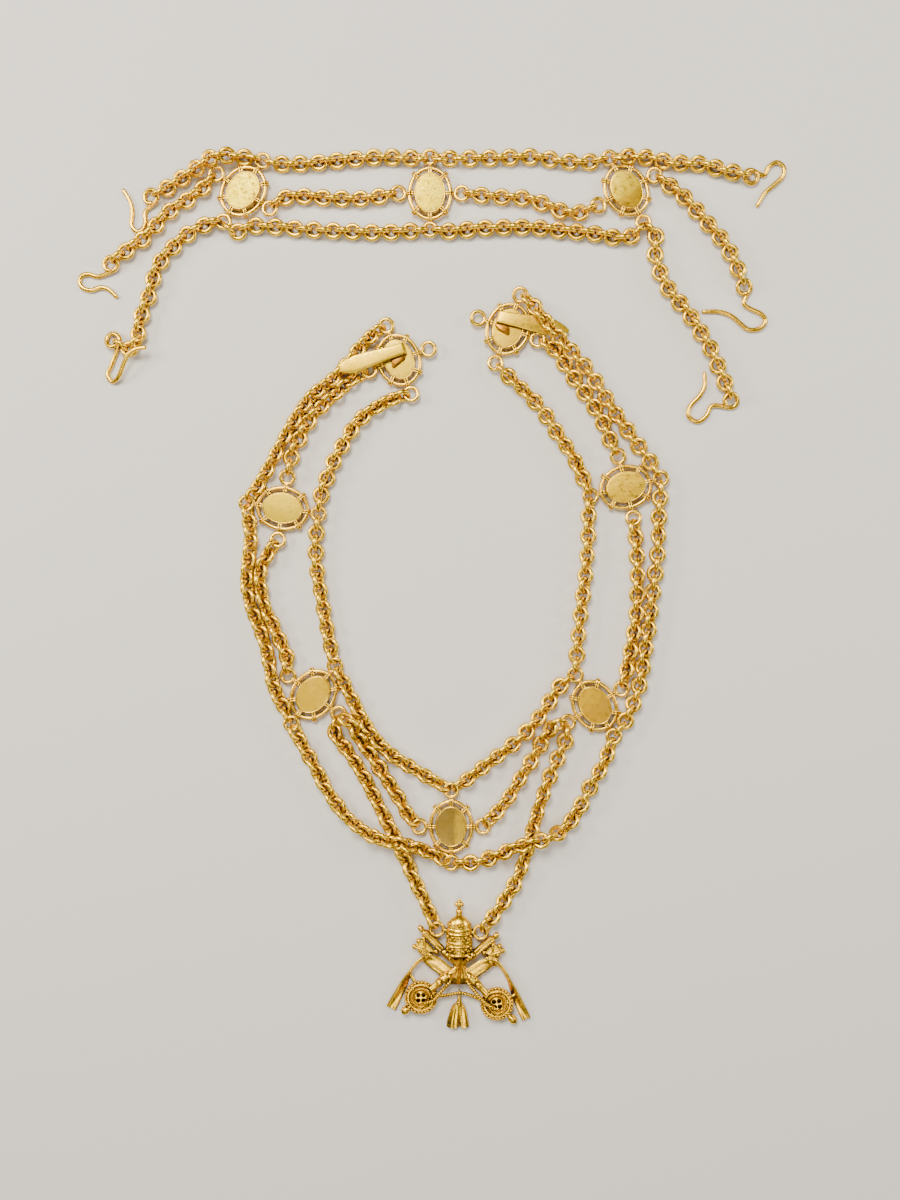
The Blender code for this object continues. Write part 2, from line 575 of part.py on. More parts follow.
def clip_strip(fold, heading, drop):
    """The folded strip of a shoulder clip, from its soldered leaf round the fold to the tongue's tip."""
    leaf_height = CASE_HEIGHT + CLIP_THICKNESS * 0.3
    tongue_height = leaf_height + CLIP_FOLD_RISE
    width = CLIP_WIDTH * CLIP_OUTLINE[0][1]
    rows = [(CLIP_LEAF, leaf_height, width), (CLIP_FOLD_RISE / 2, leaf_height, width)]
    for turn in (45.0, 90.0, 135.0):
        angle = math.radians(turn)
        along = CLIP_FOLD_RISE / 2 * (1.0 - math.sin(angle))
        height = leaf_height + CLIP_FOLD_RISE / 2 * (1.0 - math.cos(angle))
        rows.append((along, height, width))
    for share, width_share in CLIP_OUTLINE:
        along = max(share * CLIP_LENGTH, CLIP_FOLD_RISE / 2)
        rows.append((along, tongue_height - drop * share ** 1.5, CLIP_WIDTH * width_share))
    turn = Matrix.Rotation(math.radians(heading), 3, "Z")
    forward, side = turn @ Vector((1.0, 0.0, 0.0)), turn @ Vector((0.0, 1.0, 0.0))
    line = [Vector((along, height)) for along, height, _ in rows]
    rings = []
    for i, (along, height, width) in enumerate(rows):
        run = line[min(i + 1, len(rows) - 1)] - line[max(i - 1, 0)]
        across = Vector((-run.y, run.x)).normalized() * CLIP_THICKNESS / 2
        centre = Vector((*fold, 0.0)) + forward * along + Vector((0.0, 0.0, height))
        thick = forward * across.x + Vector((0.0, 0.0, across.y))
        half = side * width / 2
        rings.append([centre + c for c in (half + thick, half - thick, -half - thick, -half + thick)])
    return skin("clip", rings)


def build_medallions(material):
    plain = fuse("medallion", medallion_pieces())
    for name, (x, y, heading) in MEDALLIONS.items():
        mesh = plain
        if name in CLIPS:
            mesh = fuse("clip_medallion", medallion_pieces() + [clip_strip(**CLIPS[name])])
        place("medallion_" + name, mesh, material, x, y, heading)


def anchor(owner, side):
    """Middle and outer radius of the ring or eye that a strand hangs on."""
    rim = RING_DIAMETER / 2 / math.cos(math.pi / RING_STEPS)
    if side == "eye":
        return Vector(HOOKS[owner.removeprefix("hook_")][0]), HOOK_EYE / 2
    if owner == "badge":
        return Vector(BADGE_PLACE) + Vector(BADGE_RINGS[side]), rim
    x, y, heading = MEDALLIONS[owner]
    angle = math.radians(heading + RING_HEADINGS[side])
    reach = ring_reach(side)
    return Vector((x + reach * math.cos(angle), y + reach * math.sin(angle))), rim


def smooth_line(points, step):
    """Points a step or a little less apart along a smooth curve through the given ones."""
    ends = [2 * points[0] - points[1], *points, 2 * points[-1] - points[-2]]
    fine = []
    for a, b, c, d in zip(ends, ends[1:], ends[2:], ends[3:]):
        for i in range(12):
            t = i / 12
            fine.append(0.5 * (2 * b + (c - a) * t + (2 * a - 5 * b + 4 * c - d) * t ** 2
                               + (3 * b - a - 3 * c + d) * t ** 3))
    fine.append(points[-1])
    reach = [0.0]
    for first, second in zip(fine, fine[1:]):
        reach.append(reach[-1] + (second - first).length)
    count = max(2, math.ceil(reach[-1] / step))
    line, i = [], 0
    for k in range(count + 1):
        goal = reach[-1] * k / count
        while i < len(fine) - 2 and reach[i + 1] < goal:
            i += 1
        line.append(fine[i].lerp(fine[i + 1], (goal - reach[i]) / (reach[i + 1] - reach[i])))
    return line


def strand_line(name):
    """Middle of a strand: smooth from ring to ring, then drawn back to the rims of both."""
    rest = STRAND_DIAMETER / 2
    route = [Vector((p[0], p[1], rest + (p[2] if len(p) > 2 else 0.0))) for p in STRAND_ROUTES[name]]
    (start, start_radius), (end, end_radius) = (anchor(*owner) for owner in STRAND_ENDS[name])
    line = smooth_line([Vector((*start, route[0].z)), *route, Vector((*end, route[-1].z))], STRAND_STEP)
    for point in line:
        point.z = max(point.z, rest)
    for tip, near, radius in ((0, 1, start_radius), (-1, -2, end_radius)):
        away = (line[near] - line[tip]).normalized()
        line[tip] += away * (radius + CLEARANCE)
    return line


def build_strands(material):
    for name in STRAND_ENDS:
        curve = bpy.data.curves.new("chain_" + name, "CURVE")
        curve.dimensions = "3D"
        curve.bevel_depth = STRAND_DIAMETER / 2
        curve.bevel_resolution = 2
        curve.use_fill_caps = True
        line = strand_line(name)
        spline = curve.splines.new("POLY")
        spline.points.add(len(line) - 1)
        for point, place_on_line in zip(spline.points, line):
            point.co = (*place_on_line, 1.0)
        curve.materials.append(material)
        bpy.context.scene.collection.objects.link(bpy.data.objects.new("chain_" + name, curve))


def build_hooks(material):
    """Each hook is one wire: round the eye for three quarters of a turn, then out to the bend and the tip."""
    for name, (eye, turn, bends) in HOOKS.items():
        centre = Vector(eye)
        radius = (HOOK_EYE - HOOK_WIRE) / 2
        first = Vector(bends[0][:2]) - centre
        leave = math.atan2(first.y, first.x) + turn * math.acos(radius / first.length)
        turns = [leave + turn * math.radians(HOOK_TURN * (1 - i / HOOK_STEPS)) for i in range(HOOK_STEPS + 1)]
        height = HOOK_WIRE / 2 * math.cos(math.pi / WIRE_SIDES)
        line = [(centre.x + radius * math.cos(a), centre.y + radius * math.sin(a), height) for a in turns]
        line += [(p[0], p[1], height + (p[2] if len(p) > 2 else 0.0)) for p in bends]
        shape = wire("hook", line, HOOK_WIRE)
        mesh = shape.data
        bpy.data.objects.remove(shape, do_unlink=True)
        place("hook_" + name, mesh, material)


def crown_pieces():
    """The three-tiered tiara with its ball and cross, squashed to the depth of the badge."""
    top = CROWN_FOOT + CROWN_LENGTH
    outline = [(share, radius * CROWN_WIDTH / 2) for share, radius in CROWN_OUTLINE]
    dome = turned("dome", (0, CROWN_FOOT, 0), (0, top, 0), outline, CROWN_SIDES)
    for vertex in dome.data.vertices:
        vertex.co.z = vertex.co.z * CROWN_DEPTH / CROWN_WIDTH + CROWN_DEPTH / 2
    middle = top + FINIAL_NECK
    low, high = middle - FINIAL_BALL / 2, middle + FINIAL_BALL / 2
    outline = [(share, radius * FINIAL_BALL) for share, radius in BALL_OUTLINE]
    ball = turned("ball", (0, low, BADGE_HEIGHT), (0, high, BADGE_HEIGHT), outline, BALL_SIDES)
    foot = middle + FINIAL_BALL * 0.4
    tip = foot + CROSS_HEIGHT
    post = bar("post", (0, foot, BADGE_HEIGHT), (0, tip, BADGE_HEIGHT), CROSS_ARM * 0.8, CROSS_ARM)
    arm = Vector((CROSS_SPAN / 2, 0, 0))
    centre = Vector((0, foot + CROSS_HEIGHT / 2, BADGE_HEIGHT + CROSS_ARM * 0.1))
    arms = bar("arms", centre - arm, centre + arm, CROSS_ARM, CROSS_ARM * 0.8)
    return [dome, ball, post, arms]


def key_pieces(name):
    key = KEYS[name]
    tip, bow = Vector((*key["tip"], key["height"])), Vector((*key["bow"], key["height"]))
    stem = turned("stem", tip, bow, [(s, r * KEY_STEM / 2) for s, r in KEY_OUTLINE], KEY_SIDES)
    end = turned("end", tip, bow, [(s, r * KEY_STEM / 2) for s, r in KEY_END], KEY_SIDES)
    centre = Vector((*key["bow"], 0.0))
    rims = [oval(BOW_DIAMETER * radius, BOW_DIAMETER * radius, BOW_THICKNESS * rise, BOW_SIDES)
            for radius, rise in BOW_OUTLINE]
    disc = skin("bow", [[centre + point for point in rim] for rim in rims])
    wards = prism("wards", WARDS[name], WARD_FOOT, WARD_FOOT + WARD_THICKNESS)
    return [stem, end, disc, wards]


def build_badge(material):
    pieces = crown_pieces()
    for name in KEYS:
        pieces += key_pieces(name)
    shape = bmesh.new()
    for corner in GUSSET:
        shape.verts.new(corner)
    bmesh.ops.convex_hull(shape, input=shape.verts)
    pieces.append(mesh_object("gusset", shape))
    pieces += [flat_band("ribbon", rows) for rows in RIBBONS.values()]
    pieces += [bar("strut", start, end, STRUT_WIDTH, STRUT_DEPTH) for start, end in STRUTS]
    pieces += [wire("cord", run, CORD_WIRE) for run in CORD_RUNS]
    for x, y in BADGE_RINGS.values():
        pieces.append(ring_wire("ring", math.hypot(x, y), BADGE_HEIGHT, math.degrees(math.atan2(y, x))))
        inner = Vector((x - math.copysign((RING_DIAMETER - RING_WIRE) / 2, x), y, BADGE_HEIGHT))
        root = Vector((math.copysign(CROWN_WIDTH * 0.32, x), y - STUB_WIDTH * 0.45, BADGE_HEIGHT))
        pieces.append(bar("stub", inner, root, STUB_WIDTH, STUB_DEPTH))
    place("badge", fuse("badge", pieces), material, *BADGE_PLACE)


def build_tassel(material):
    x, y, z = TASSEL_PLACE
    radius = (TASSEL_RING - TASSEL_WIRE) / 2
    turns = [math.tau * i / RING_STEPS for i in range(RING_STEPS)]
    ring = wire("ring", [(x + radius * math.sin(a), y + radius * math.cos(a), 0.0) for a in turns],
                TASSEL_WIRE, closed=True)
    upright = Matrix.Rotation(math.pi / 2, 4, "Y") @ Matrix.Translation((-x, -y, 0))
    ring.data.transform(Matrix.Translation((x, y, z)) @ upright)
    low = z - TASSEL_BACK
    lobes = prism("lobes", [(x + u, y + v) for u, v in TASSEL_OUTLINE], low, low + TASSEL_THICKNESS)
    place("tassel", fuse("tassel", [lobes, ring]), material, *BADGE_PLACE)


def build():
    clear_scene()
    build_medallions(gilt("medallion_gilt", PLATE_GOLD, 0.30))
    build_strands(gilt("chain_gilt", GOLD, 0.30))
    build_hooks(gilt("hook_gilt", GOLD, 0.28))
    badge_material = gilt("badge_gilt", GOLD, 0.32)
    build_badge(badge_material)
    build_tassel(badge_material)


build()
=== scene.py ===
"""Chain of office laid out on its face: looks of every piece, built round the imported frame."""
import math
import random

import bmesh
import bpy
import numpy as np
from mathutils import Matrix, Vector


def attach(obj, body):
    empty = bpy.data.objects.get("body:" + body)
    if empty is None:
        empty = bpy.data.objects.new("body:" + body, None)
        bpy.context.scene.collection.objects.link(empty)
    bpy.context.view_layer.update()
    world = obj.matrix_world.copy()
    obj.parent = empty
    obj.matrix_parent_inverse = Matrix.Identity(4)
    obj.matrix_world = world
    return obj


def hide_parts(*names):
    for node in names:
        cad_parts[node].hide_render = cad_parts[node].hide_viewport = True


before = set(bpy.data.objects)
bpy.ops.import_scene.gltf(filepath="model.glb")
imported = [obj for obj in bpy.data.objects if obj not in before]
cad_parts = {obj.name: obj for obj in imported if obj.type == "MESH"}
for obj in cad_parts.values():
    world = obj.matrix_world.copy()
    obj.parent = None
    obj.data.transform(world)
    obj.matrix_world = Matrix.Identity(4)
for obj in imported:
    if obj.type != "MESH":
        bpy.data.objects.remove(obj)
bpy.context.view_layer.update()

# Camera: straight above the collar, as the photograph was taken.
# Its frame of 900 by 1200 pixels covers 405 by 540 mm of the surface, 0.45 mm to a pixel.
VIEW_HEIGHT = 0.65
VIEW_LENGTH = 0.54
VIEW_CENTRE = (0.0081, -0.0045)

camera = bpy.data.objects.new("camera", bpy.data.cameras.new("camera"))
camera.data.sensor_width = 36.0
camera.data.lens = camera.data.sensor_width * VIEW_HEIGHT / VIEW_LENGTH
camera.location = (*VIEW_CENTRE, VIEW_HEIGHT)
bpy.context.scene.collection.objects.link(camera)
bpy.context.scene.camera = camera

# Table top and light: a plain pale sheet under a large warm soft box above the nape, a smaller one above the
# badge and a weak lamp low at either side. The sheet and the lamps are not part of the collar.
SHEET_COLOUR = (0.70, 0.69, 0.675, 1.0)
LAMPS = {
    "key": {"place": (-0.22, 0.66, 1.25), "size": 0.62, "power": 28.0, "colour": (1.0, 0.93, 0.80)},
    "side": {"place": (-0.80, 0.30, 0.55), "size": 0.30, "power": 7.0, "colour": (1.0, 0.93, 0.82)},
    "fill": {"place": (0.80, 0.20, 0.45), "size": 0.30, "power": 4.0, "colour": (1.0, 0.95, 0.88)},
    "front": {"place": (-0.05, -0.58, 1.15), "size": 0.46, "power": 5.0, "colour": (1.0, 0.92, 0.76)},
}

sheet_mesh = bpy.data.meshes.new("table_sheet")
sheet_mesh.from_pydata([(-3, -3, 0), (3, -3, 0), (3, 3, 0), (-3, 3, 0)], [], [(0, 1, 2, 3)])
sheet = bpy.data.objects.new("table_sheet", sheet_mesh)
bpy.context.scene.collection.objects.link(sheet)
sheet_paper = bpy.data.materials.new("pale_sheet")
sheet_paper.use_nodes = True
sheet_shader = sheet_paper.node_tree.nodes["Principled BSDF"]
sheet_shader.inputs["Base Color"].default_value = SHEET_COLOUR
sheet_shader.inputs["Roughness"].default_value = 0.85
sheet_mesh.materials.append(sheet_paper)

for lamp_name, lamp in LAMPS.items():
    light = bpy.data.lights.new(lamp_name, "AREA")
    light.shape = "DISK"
    light.size = lamp["size"]
    light.energy = lamp["power"]
    light.color = lamp["colour"]
    lamp_object = bpy.data.objects.new(lamp_name, light)
    lamp_object.location = lamp["place"]
    lamp_object.rotation_euler = (-Vector(lamp["place"])).to_track_quat("-Z", "Y").to_euler()
    bpy.context.scene.collection.objects.link(lamp_object)

room = bpy.data.worlds.new("studio_room")
room.use_nodes = True
room_nodes, room_links = room.node_tree.nodes, room.node_tree.links
room_light = room_nodes["Background"]
room_direction = room_nodes.new("ShaderNodeTexCoord")
room_split = room_nodes.new("ShaderNodeSeparateXYZ")
room_ramp = room_nodes.new("ShaderNodeValToRGB")
room_links.new(room_direction.outputs["Generated"], room_split.inputs[0])
room_links.new(room_split.outputs["Z"], room_ramp.inputs[0])
room_links.new(room_ramp.outputs[0], room_light.inputs["Color"])
room_ramp.color_ramp.elements[0].position = 0.0
room_ramp.color_ramp.elements[0].color = (0.05, 0.045, 0.04, 1.0)
room_ramp.color_ramp.elements[1].position = 0.95
room_ramp.color_ramp.elements[1].color = (0.40, 0.385, 0.36, 1.0)
room_middle = room_ramp.color_ramp.elements.new(0.45)
room_middle.color = (0.06, 0.057, 0.053, 1.0)
room_light.inputs["Strength"].default_value = 0.8
bpy.context.scene.world = room

# Strands of chain: links of drawn brass wire, fire-gilt and worn to a satin, with painted brown shade where they
# touch.
# Each link is bent round, passed through the last one and soldered shut; the end links hold the rings.
# The routes are those of the imported strands, point by point: x, y and, where one lies over another, its lift,
# which links need a little less of, because they nest.
LINK_LENGTH = 0.0085
LINK_WIDTH = 0.0080
LINK_WIRE = 0.0021
LINK_PITCH = 0.00442
LINK_STEPS = 26
LINK_SIDES = 10
LINK_LEAN = 7.0
FIRST_LINK = 0.00445
LOW_LINK = 0.0026
NESTING = 0.74
RING_DIAMETER = 0.0078
RING_WIRE = 0.0018
RING_HEIGHT = 0.0027
RING_STEM = 0.0002
FRAME_LENGTH = 0.0243
FRAME_WIDTH = 0.0202
BADGE_PLACE = (0.0122, -0.1674)
BADGE_HEIGHT = 0.0040
BADGE_RINGS = {"left": (-0.0099, 0.0157), "right": (0.0095, 0.0144)}
RING_HEADINGS = {"head": 0.0, "left": 90.0, "foot": 180.0, "right": 270.0}
MEDALLIONS = {
    "nape_left": (-0.0846, 0.1787, 57.0),
    "nape_centre": (-0.0009, 0.1777, 90.0),
    "nape_right": (0.0871, 0.1791, 118.0),
    "shoulder_left": (-0.0149, 0.1031, 110.0),
    "shoulder_right": (0.0340, 0.1170, 70.0),
    "chest_left": (-0.0669, 0.0366, 171.4),
    "chest_right": (0.0868, 0.0461, 14.0),
    "side_left": (-0.0532, -0.0468, 53.0),
    "side_right": (0.0729, -0.0517, 122.0),
    "front": (0.0086, -0.1059, 90.0),
}
HOOK_EYES = {
    "left_outer": (-0.1260, 0.1764), "left_middle": (-0.1440, 0.1462), "left_inner": (-0.1431, 0.1120),
    "right_outer": (0.1431, 0.1854), "right_middle": (0.1400, 0.1359), "right_inner": (0.1341, 0.0850),
}
STRAND_ENDS = {
    "tail_left_outer": (("hook_left_outer", "eye"), ("nape_left", "head")),
    "tail_left_middle": (("nape_left", "left"), ("hook_left_middle", "eye")),
    "tail_left_inner": (("nape_left", "foot"), ("hook_left_inner", "eye")),
    "nape_left_top": (("nape_left", "head"), ("nape_centre", "head")),
    "nape_left_middle": (("nape_left", "right"), ("nape_centre", "left")),
    "nape_left_bottom": (("nape_left", "foot"), ("nape_centre", "foot")),
    "nape_right_top": (("nape_centre", "head"), ("nape_right", "head")),
    "nape_right_middle": (("nape_centre", "right"), ("nape_right", "left")),
    "nape_right_bottom": (("nape_centre", "foot"), ("nape_right", "foot")),
    "tail_right_outer": (("nape_right", "head"), ("hook_right_outer", "eye")),
    "tail_right_middle": (("nape_right", "right"), ("hook_right_middle", "eye")),
    "tail_right_inner": (("nape_right", "foot"), ("hook_right_inner", "eye")),
    "shoulder_left_outer": (("shoulder_left", "head"), ("chest_left", "head")),
    "shoulder_left_middle": (("shoulder_left", "left"), ("chest_left", "right")),
    "shoulder_left_inner": (("shoulder_left", "foot"), ("chest_left", "foot")),
    "chest_left_outer": (("chest_left", "head"), ("side_left", "foot")),
    "chest_left_middle": (("chest_left", "left"), ("side_left", "left")),
    "chest_left_inner": (("chest_left", "foot"), ("side_left", "head")),
    "breast_left_inner": (("side_left", "head"), ("front", "head")),
    "breast_left_middle": (("side_left", "right"), ("front", "left")),
    "breast_left_outer": (("side_left", "foot"), ("front", "foot")),
    "badge_left": (("side_left", "right"), ("badge", "left")),
    "shoulder_right_outer": (("shoulder_right", "head"), ("chest_right", "head")),
    "shoulder_right_middle": (("shoulder_right", "right"), ("chest_right", "left")),
    "shoulder_right_inner": (("shoulder_right", "foot"), ("chest_right", "foot")),
    "chest_right_outer": (("chest_right", "head"), ("side_right", "foot")),
    "chest_right_middle": (("chest_right", "right"), ("side_right", "right")),
    "chest_right_inner": (("chest_right", "foot"), ("side_right", "head")),
    "breast_right_inner": (("side_right", "head"), ("front", "head")),
    "breast_right_middle": (("side_right", "left"), ("front", "right")),
    "breast_right_outer": (("side_right", "foot"), ("front", "foot")),
    "badge_right": (("side_right", "left"), ("badge", "right")),
}
STRAND_ROUTES = {
    "tail_left_outer": [
        (-0.1188, 0.1800), (-0.1112, 0.1850), (-0.1040, 0.1894, 0.0020), (-0.0984, 0.1927, 0.0046),
        (-0.0927, 0.1938, 0.0042), (-0.0842, 0.1937, 0.0008),
    ],
    "tail_left_middle": [
        (-0.1022, 0.1805), (-0.1089, 0.1751), (-0.1170, 0.1701), (-0.1233, 0.1638),
        (-0.1292, 0.1575), (-0.1368, 0.1521),
    ],
    "tail_left_inner": [
        (-0.1012, 0.1638), (-0.1089, 0.1598), (-0.1152, 0.1543), (-0.1206, 0.1485),
        (-0.1242, 0.1418), (-0.1265, 0.1328), (-0.1296, 0.1247), (-0.1314, 0.1170),
        (-0.1323, 0.1107), (-0.1363, 0.1080),
    ],
    "nape_left_top": [
        (-0.0666, 0.1908), (-0.0549, 0.1912), (-0.0391, 0.1926), (-0.0234, 0.1940),
        (-0.0112, 0.1935),
    ],
    "nape_left_middle": [
        (-0.0652, 0.1760), (-0.0571, 0.1764), (-0.0459, 0.1755), (-0.0315, 0.1753),
        (-0.0229, 0.1764),
    ],
    "nape_left_bottom": [
        (-0.0887, 0.1602), (-0.0819, 0.1629), (-0.0738, 0.1629), (-0.0567, 0.1616),
        (-0.0387, 0.1607), (-0.0243, 0.1602), (-0.0103, 0.1607),
    ],
    "nape_right_top": [
        (0.0081, 0.1933), (0.0266, 0.1935), (0.0455, 0.1940), (0.0576, 0.1922),
        (0.0702, 0.1917),
    ],
    "nape_right_middle": [
        (0.0221, 0.1768), (0.0324, 0.1760), (0.0410, 0.1755), (0.0495, 0.1732),
        (0.0581, 0.1697), (0.0652, 0.1688),
    ],
    "nape_right_bottom": [
        (0.0081, 0.1607), (0.0243, 0.1622), (0.0432, 0.1625), (0.0576, 0.1611),
        (0.0756, 0.1593), (0.0842, 0.1575), (0.0905, 0.1593),
    ],
    "tail_right_outer": [
        (0.0882, 0.1940, 0.0009), (0.0981, 0.1935), (0.1071, 0.1915), (0.1206, 0.1908),
        (0.1305, 0.1881), (0.1368, 0.1868),
    ],
    "tail_right_middle": [
        (0.1062, 0.1813), (0.1130, 0.1760), (0.1224, 0.1656), (0.1305, 0.1562),
        (0.1363, 0.1458),
    ],
    "tail_right_inner": [
        (0.1004, 0.1584), (0.0999, 0.1512), (0.1026, 0.1413), (0.1075, 0.1328),
        (0.1139, 0.1255), (0.1192, 0.1175), (0.1247, 0.1085), (0.1282, 0.1004),
        (0.1314, 0.0927),
    ],
    "shoulder_left_outer": [
        (-0.0270, 0.1139), (-0.0333, 0.1071), (-0.0391, 0.0999), (-0.0456, 0.0933),
        (-0.0515, 0.0889), (-0.0569, 0.0830), (-0.0612, 0.0765), (-0.0657, 0.0689),
        (-0.0738, 0.0536), (-0.0788, 0.0450),
    ],
    "shoulder_left_middle": [
        (-0.0351, 0.0945), (-0.0387, 0.0918), (-0.0430, 0.0876), (-0.0483, 0.0832),
        (-0.0546, 0.0764), (-0.0585, 0.0693), (-0.0621, 0.0626),
    ],
    "shoulder_left_inner": [
        (-0.0176, 0.0855), (-0.0270, 0.0805), (-0.0338, 0.0747), (-0.0387, 0.0670),
        (-0.0432, 0.0594), (-0.0468, 0.0509), (-0.0495, 0.0432),
    ],
    "chest_left_outer": [
        (-0.0817, 0.0297), (-0.0812, 0.0225), (-0.0821, 0.0135), (-0.0829, 0.0045),
        (-0.0821, -0.0027), (-0.0805, -0.0090), (-0.0779, -0.0153), (-0.0742, -0.0261),
        (-0.0726, -0.0342, 0.0009), (-0.0715, -0.0400, 0.0016), (-0.0693, -0.0470, 0.0006),
        (-0.0664, -0.0522),
    ],
    "chest_left_middle": [
        (-0.0729, 0.0167), (-0.0765, 0.0103), (-0.0770, 0.0040), (-0.0760, -0.0027),
        (-0.0742, -0.0090), (-0.0715, -0.0148), (-0.0680, -0.0229), (-0.0652, -0.0292),
    ],
    "chest_left_inner": [
        (-0.0518, 0.0252), (-0.0520, 0.0167), (-0.0513, 0.0072), (-0.0497, -0.0022),
        (-0.0477, -0.0135), (-0.0455, -0.0248),
    ],
    "breast_left_inner": [
        (-0.0389, -0.0426), (-0.0348, -0.0507), (-0.0302, -0.0594), (-0.0239, -0.0684),
        (-0.0167, -0.0749), (-0.0081, -0.0801), (0.0000, -0.0850),
    ],
    "breast_left_middle": [
        (-0.0360, -0.0594, 0.0057), (-0.0333, -0.0644, 0.0030), (-0.0302, -0.0698), (-0.0274, -0.0734),
        (-0.0221, -0.0819), (-0.0148, -0.0932), (-0.0112, -0.0999),
    ],
    "breast_left_outer": [
        (-0.0585, -0.0684), (-0.0522, -0.0797), (-0.0477, -0.0882), (-0.0428, -0.0959),
        (-0.0374, -0.1022, 0.0004), (-0.0306, -0.1075, 0.0026), (-0.0229, -0.1112, 0.0052),
        (-0.0158, -0.1125, 0.0062), (-0.0086, -0.1143, 0.0052), (-0.0009, -0.1175, 0.0016),
    ],
    "badge_left": [
        (-0.0436, -0.0640), (-0.0406, -0.0684), (-0.0356, -0.0752), (-0.0306, -0.0832),
        (-0.0266, -0.0909), (-0.0221, -0.0999), (-0.0176, -0.1089), (-0.0144, -0.1161),
        (-0.0112, -0.1220), (-0.0077, -0.1301), (-0.0040, -0.1377), (-0.0009, -0.1445),
    ],
    "shoulder_right_outer": [
        (0.0448, 0.1274, 0.0042), (0.0500, 0.1206, 0.0061), (0.0558, 0.1134, 0.0059),
        (0.0626, 0.1062, 0.0032), (0.0698, 0.0985), (0.0752, 0.0905), (0.0805, 0.0819),
        (0.0864, 0.0734), (0.0922, 0.0652), (0.0977, 0.0576),
    ],
    "shoulder_right_middle": [
        (0.0536, 0.1089), (0.0576, 0.1044), (0.0612, 0.0985), (0.0662, 0.0914),
        (0.0711, 0.0846), (0.0760, 0.0765), (0.0797, 0.0675),
    ],
    "shoulder_right_inner": [
        (0.0342, 0.0959), (0.0410, 0.0895), (0.0472, 0.0832), (0.0513, 0.0779),
        (0.0558, 0.0707), (0.0608, 0.0635), (0.0652, 0.0558), (0.0680, 0.0495),
    ],
    "chest_right_outer": [
        (0.1022, 0.0410), (0.1017, 0.0306), (0.1012, 0.0171), (0.0999, 0.0059),
        (0.0985, -0.0050), (0.0972, -0.0171), (0.0952, -0.0297), (0.0935, -0.0405),
        (0.0903, -0.0509), (0.0864, -0.0590),
    ],
    "chest_right_middle": [
        (0.0914, 0.0225), (0.0920, 0.0108), (0.0922, -0.0009), (0.0916, -0.0112),
        (0.0900, -0.0216), (0.0878, -0.0338),
    ],
    "chest_right_inner": [
        (0.0702, 0.0329), (0.0700, 0.0229), (0.0693, 0.0131), (0.0684, 0.0027),
        (0.0670, -0.0077), (0.0659, -0.0176), (0.0650, -0.0279),
    ],
    "breast_right_inner": [
        (0.0581, -0.0423), (0.0536, -0.0486), (0.0491, -0.0554), (0.0446, -0.0612),
        (0.0387, -0.0670), (0.0315, -0.0729), (0.0243, -0.0783), (0.0167, -0.0842),
    ],
    "breast_right_middle": [
        (0.0549, -0.0603, 0.0061), (0.0522, -0.0630, 0.0042), (0.0491, -0.0684, 0.0004), (0.0446, -0.0765),
        (0.0396, -0.0842), (0.0351, -0.0918), (0.0297, -0.0990),
    ],
    "breast_right_outer": [
        (0.0792, -0.0720), (0.0765, -0.0788), (0.0720, -0.0860), (0.0689, -0.0927),
        (0.0652, -0.0990), (0.0603, -0.1058, 0.0010), (0.0531, -0.1102, 0.0048),
        (0.0450, -0.1125, 0.0062), (0.0369, -0.1148, 0.0056), (0.0297, -0.1184, 0.0024),
        (0.0234, -0.1210, 0.0003), (0.0162, -0.1224),
    ],
    "badge_right": [
        (0.0603, -0.0662), (0.0571, -0.0738), (0.0536, -0.0815), (0.0509, -0.0887),
        (0.0486, -0.0954), (0.0459, -0.1044), (0.0436, -0.1130), (0.0410, -0.1220),
        (0.0374, -0.1310), (0.0319, -0.1400), (0.0270, -0.1467),
    ],
}
# Lay of the links along a strand, in degrees, at even steps from its start to its end: 0 where every other link
# stands on edge, 45 where all of them lean over and show as a curb chain.
LAYS = {
    "tail_left_outer": (10, 10), "tail_left_middle": (5, 5), "tail_left_inner": (0, 12),
    "nape_left_top": (20, 5, 5, 30), "nape_left_middle": (3, 3), "nape_left_bottom": (3, 3),
    "nape_right_top": (30, 8, 8, 10), "nape_right_middle": (4, 4), "nape_right_bottom": (3, 3),
    "tail_right_outer": (30, 12), "tail_right_middle": (5, 5), "tail_right_inner": (5, 5),
    "shoulder_left_outer": (30, 22, 35, 28, 32), "shoulder_left_middle": (40, 35, 15, 5),
    "shoulder_left_inner": (35, 25, 8, 3), "chest_left_outer": (25, 35, 30, 38, 32, 40, 38, 20),
    "chest_left_middle": (40, 32, 28, 42, 30, 25, 20), "chest_left_inner": (0, 0, 15, 35, 24, 32, 25),
    "breast_left_inner": (25, 40, 45, 45, 45, 35), "breast_left_middle": (44, 42, 38, 20, 42, 28, 40),
    "breast_left_outer": (38, 15, 44, 28, 44, 38, 36, 44), "badge_left": (25, 30, 35, 45, 45, 42, 38),
    "shoulder_right_outer": (30, 42, 40, 15, 10, 20, 32, 15, 10), "shoulder_right_middle": (28, 24, 10, 20, 20, 18),
    "shoulder_right_inner": (10, 30, 45, 20, 15, 20, 38, 25, 38, 24),
    "chest_right_outer": (8, 15, 38, 15, 12, 28, 28, 25, 34, 20, 20, 12),
    "chest_right_middle": (40, 30, 20, 28, 15, 28, 25, 30, 42, 22),
    "chest_right_inner": (25, 25, 30, 30, 34, 28, 25, 22, 12),
    "breast_right_inner": (18, 28, 34, 14, 44, 44, 32), "breast_right_middle": (44, 24, 34, 44, 44),
    "breast_right_outer": (38, 40, 10, 44, 20, 42, 40, 18, 38), "badge_right": (18, 22, 42, 45, 42, 38, 44),
}


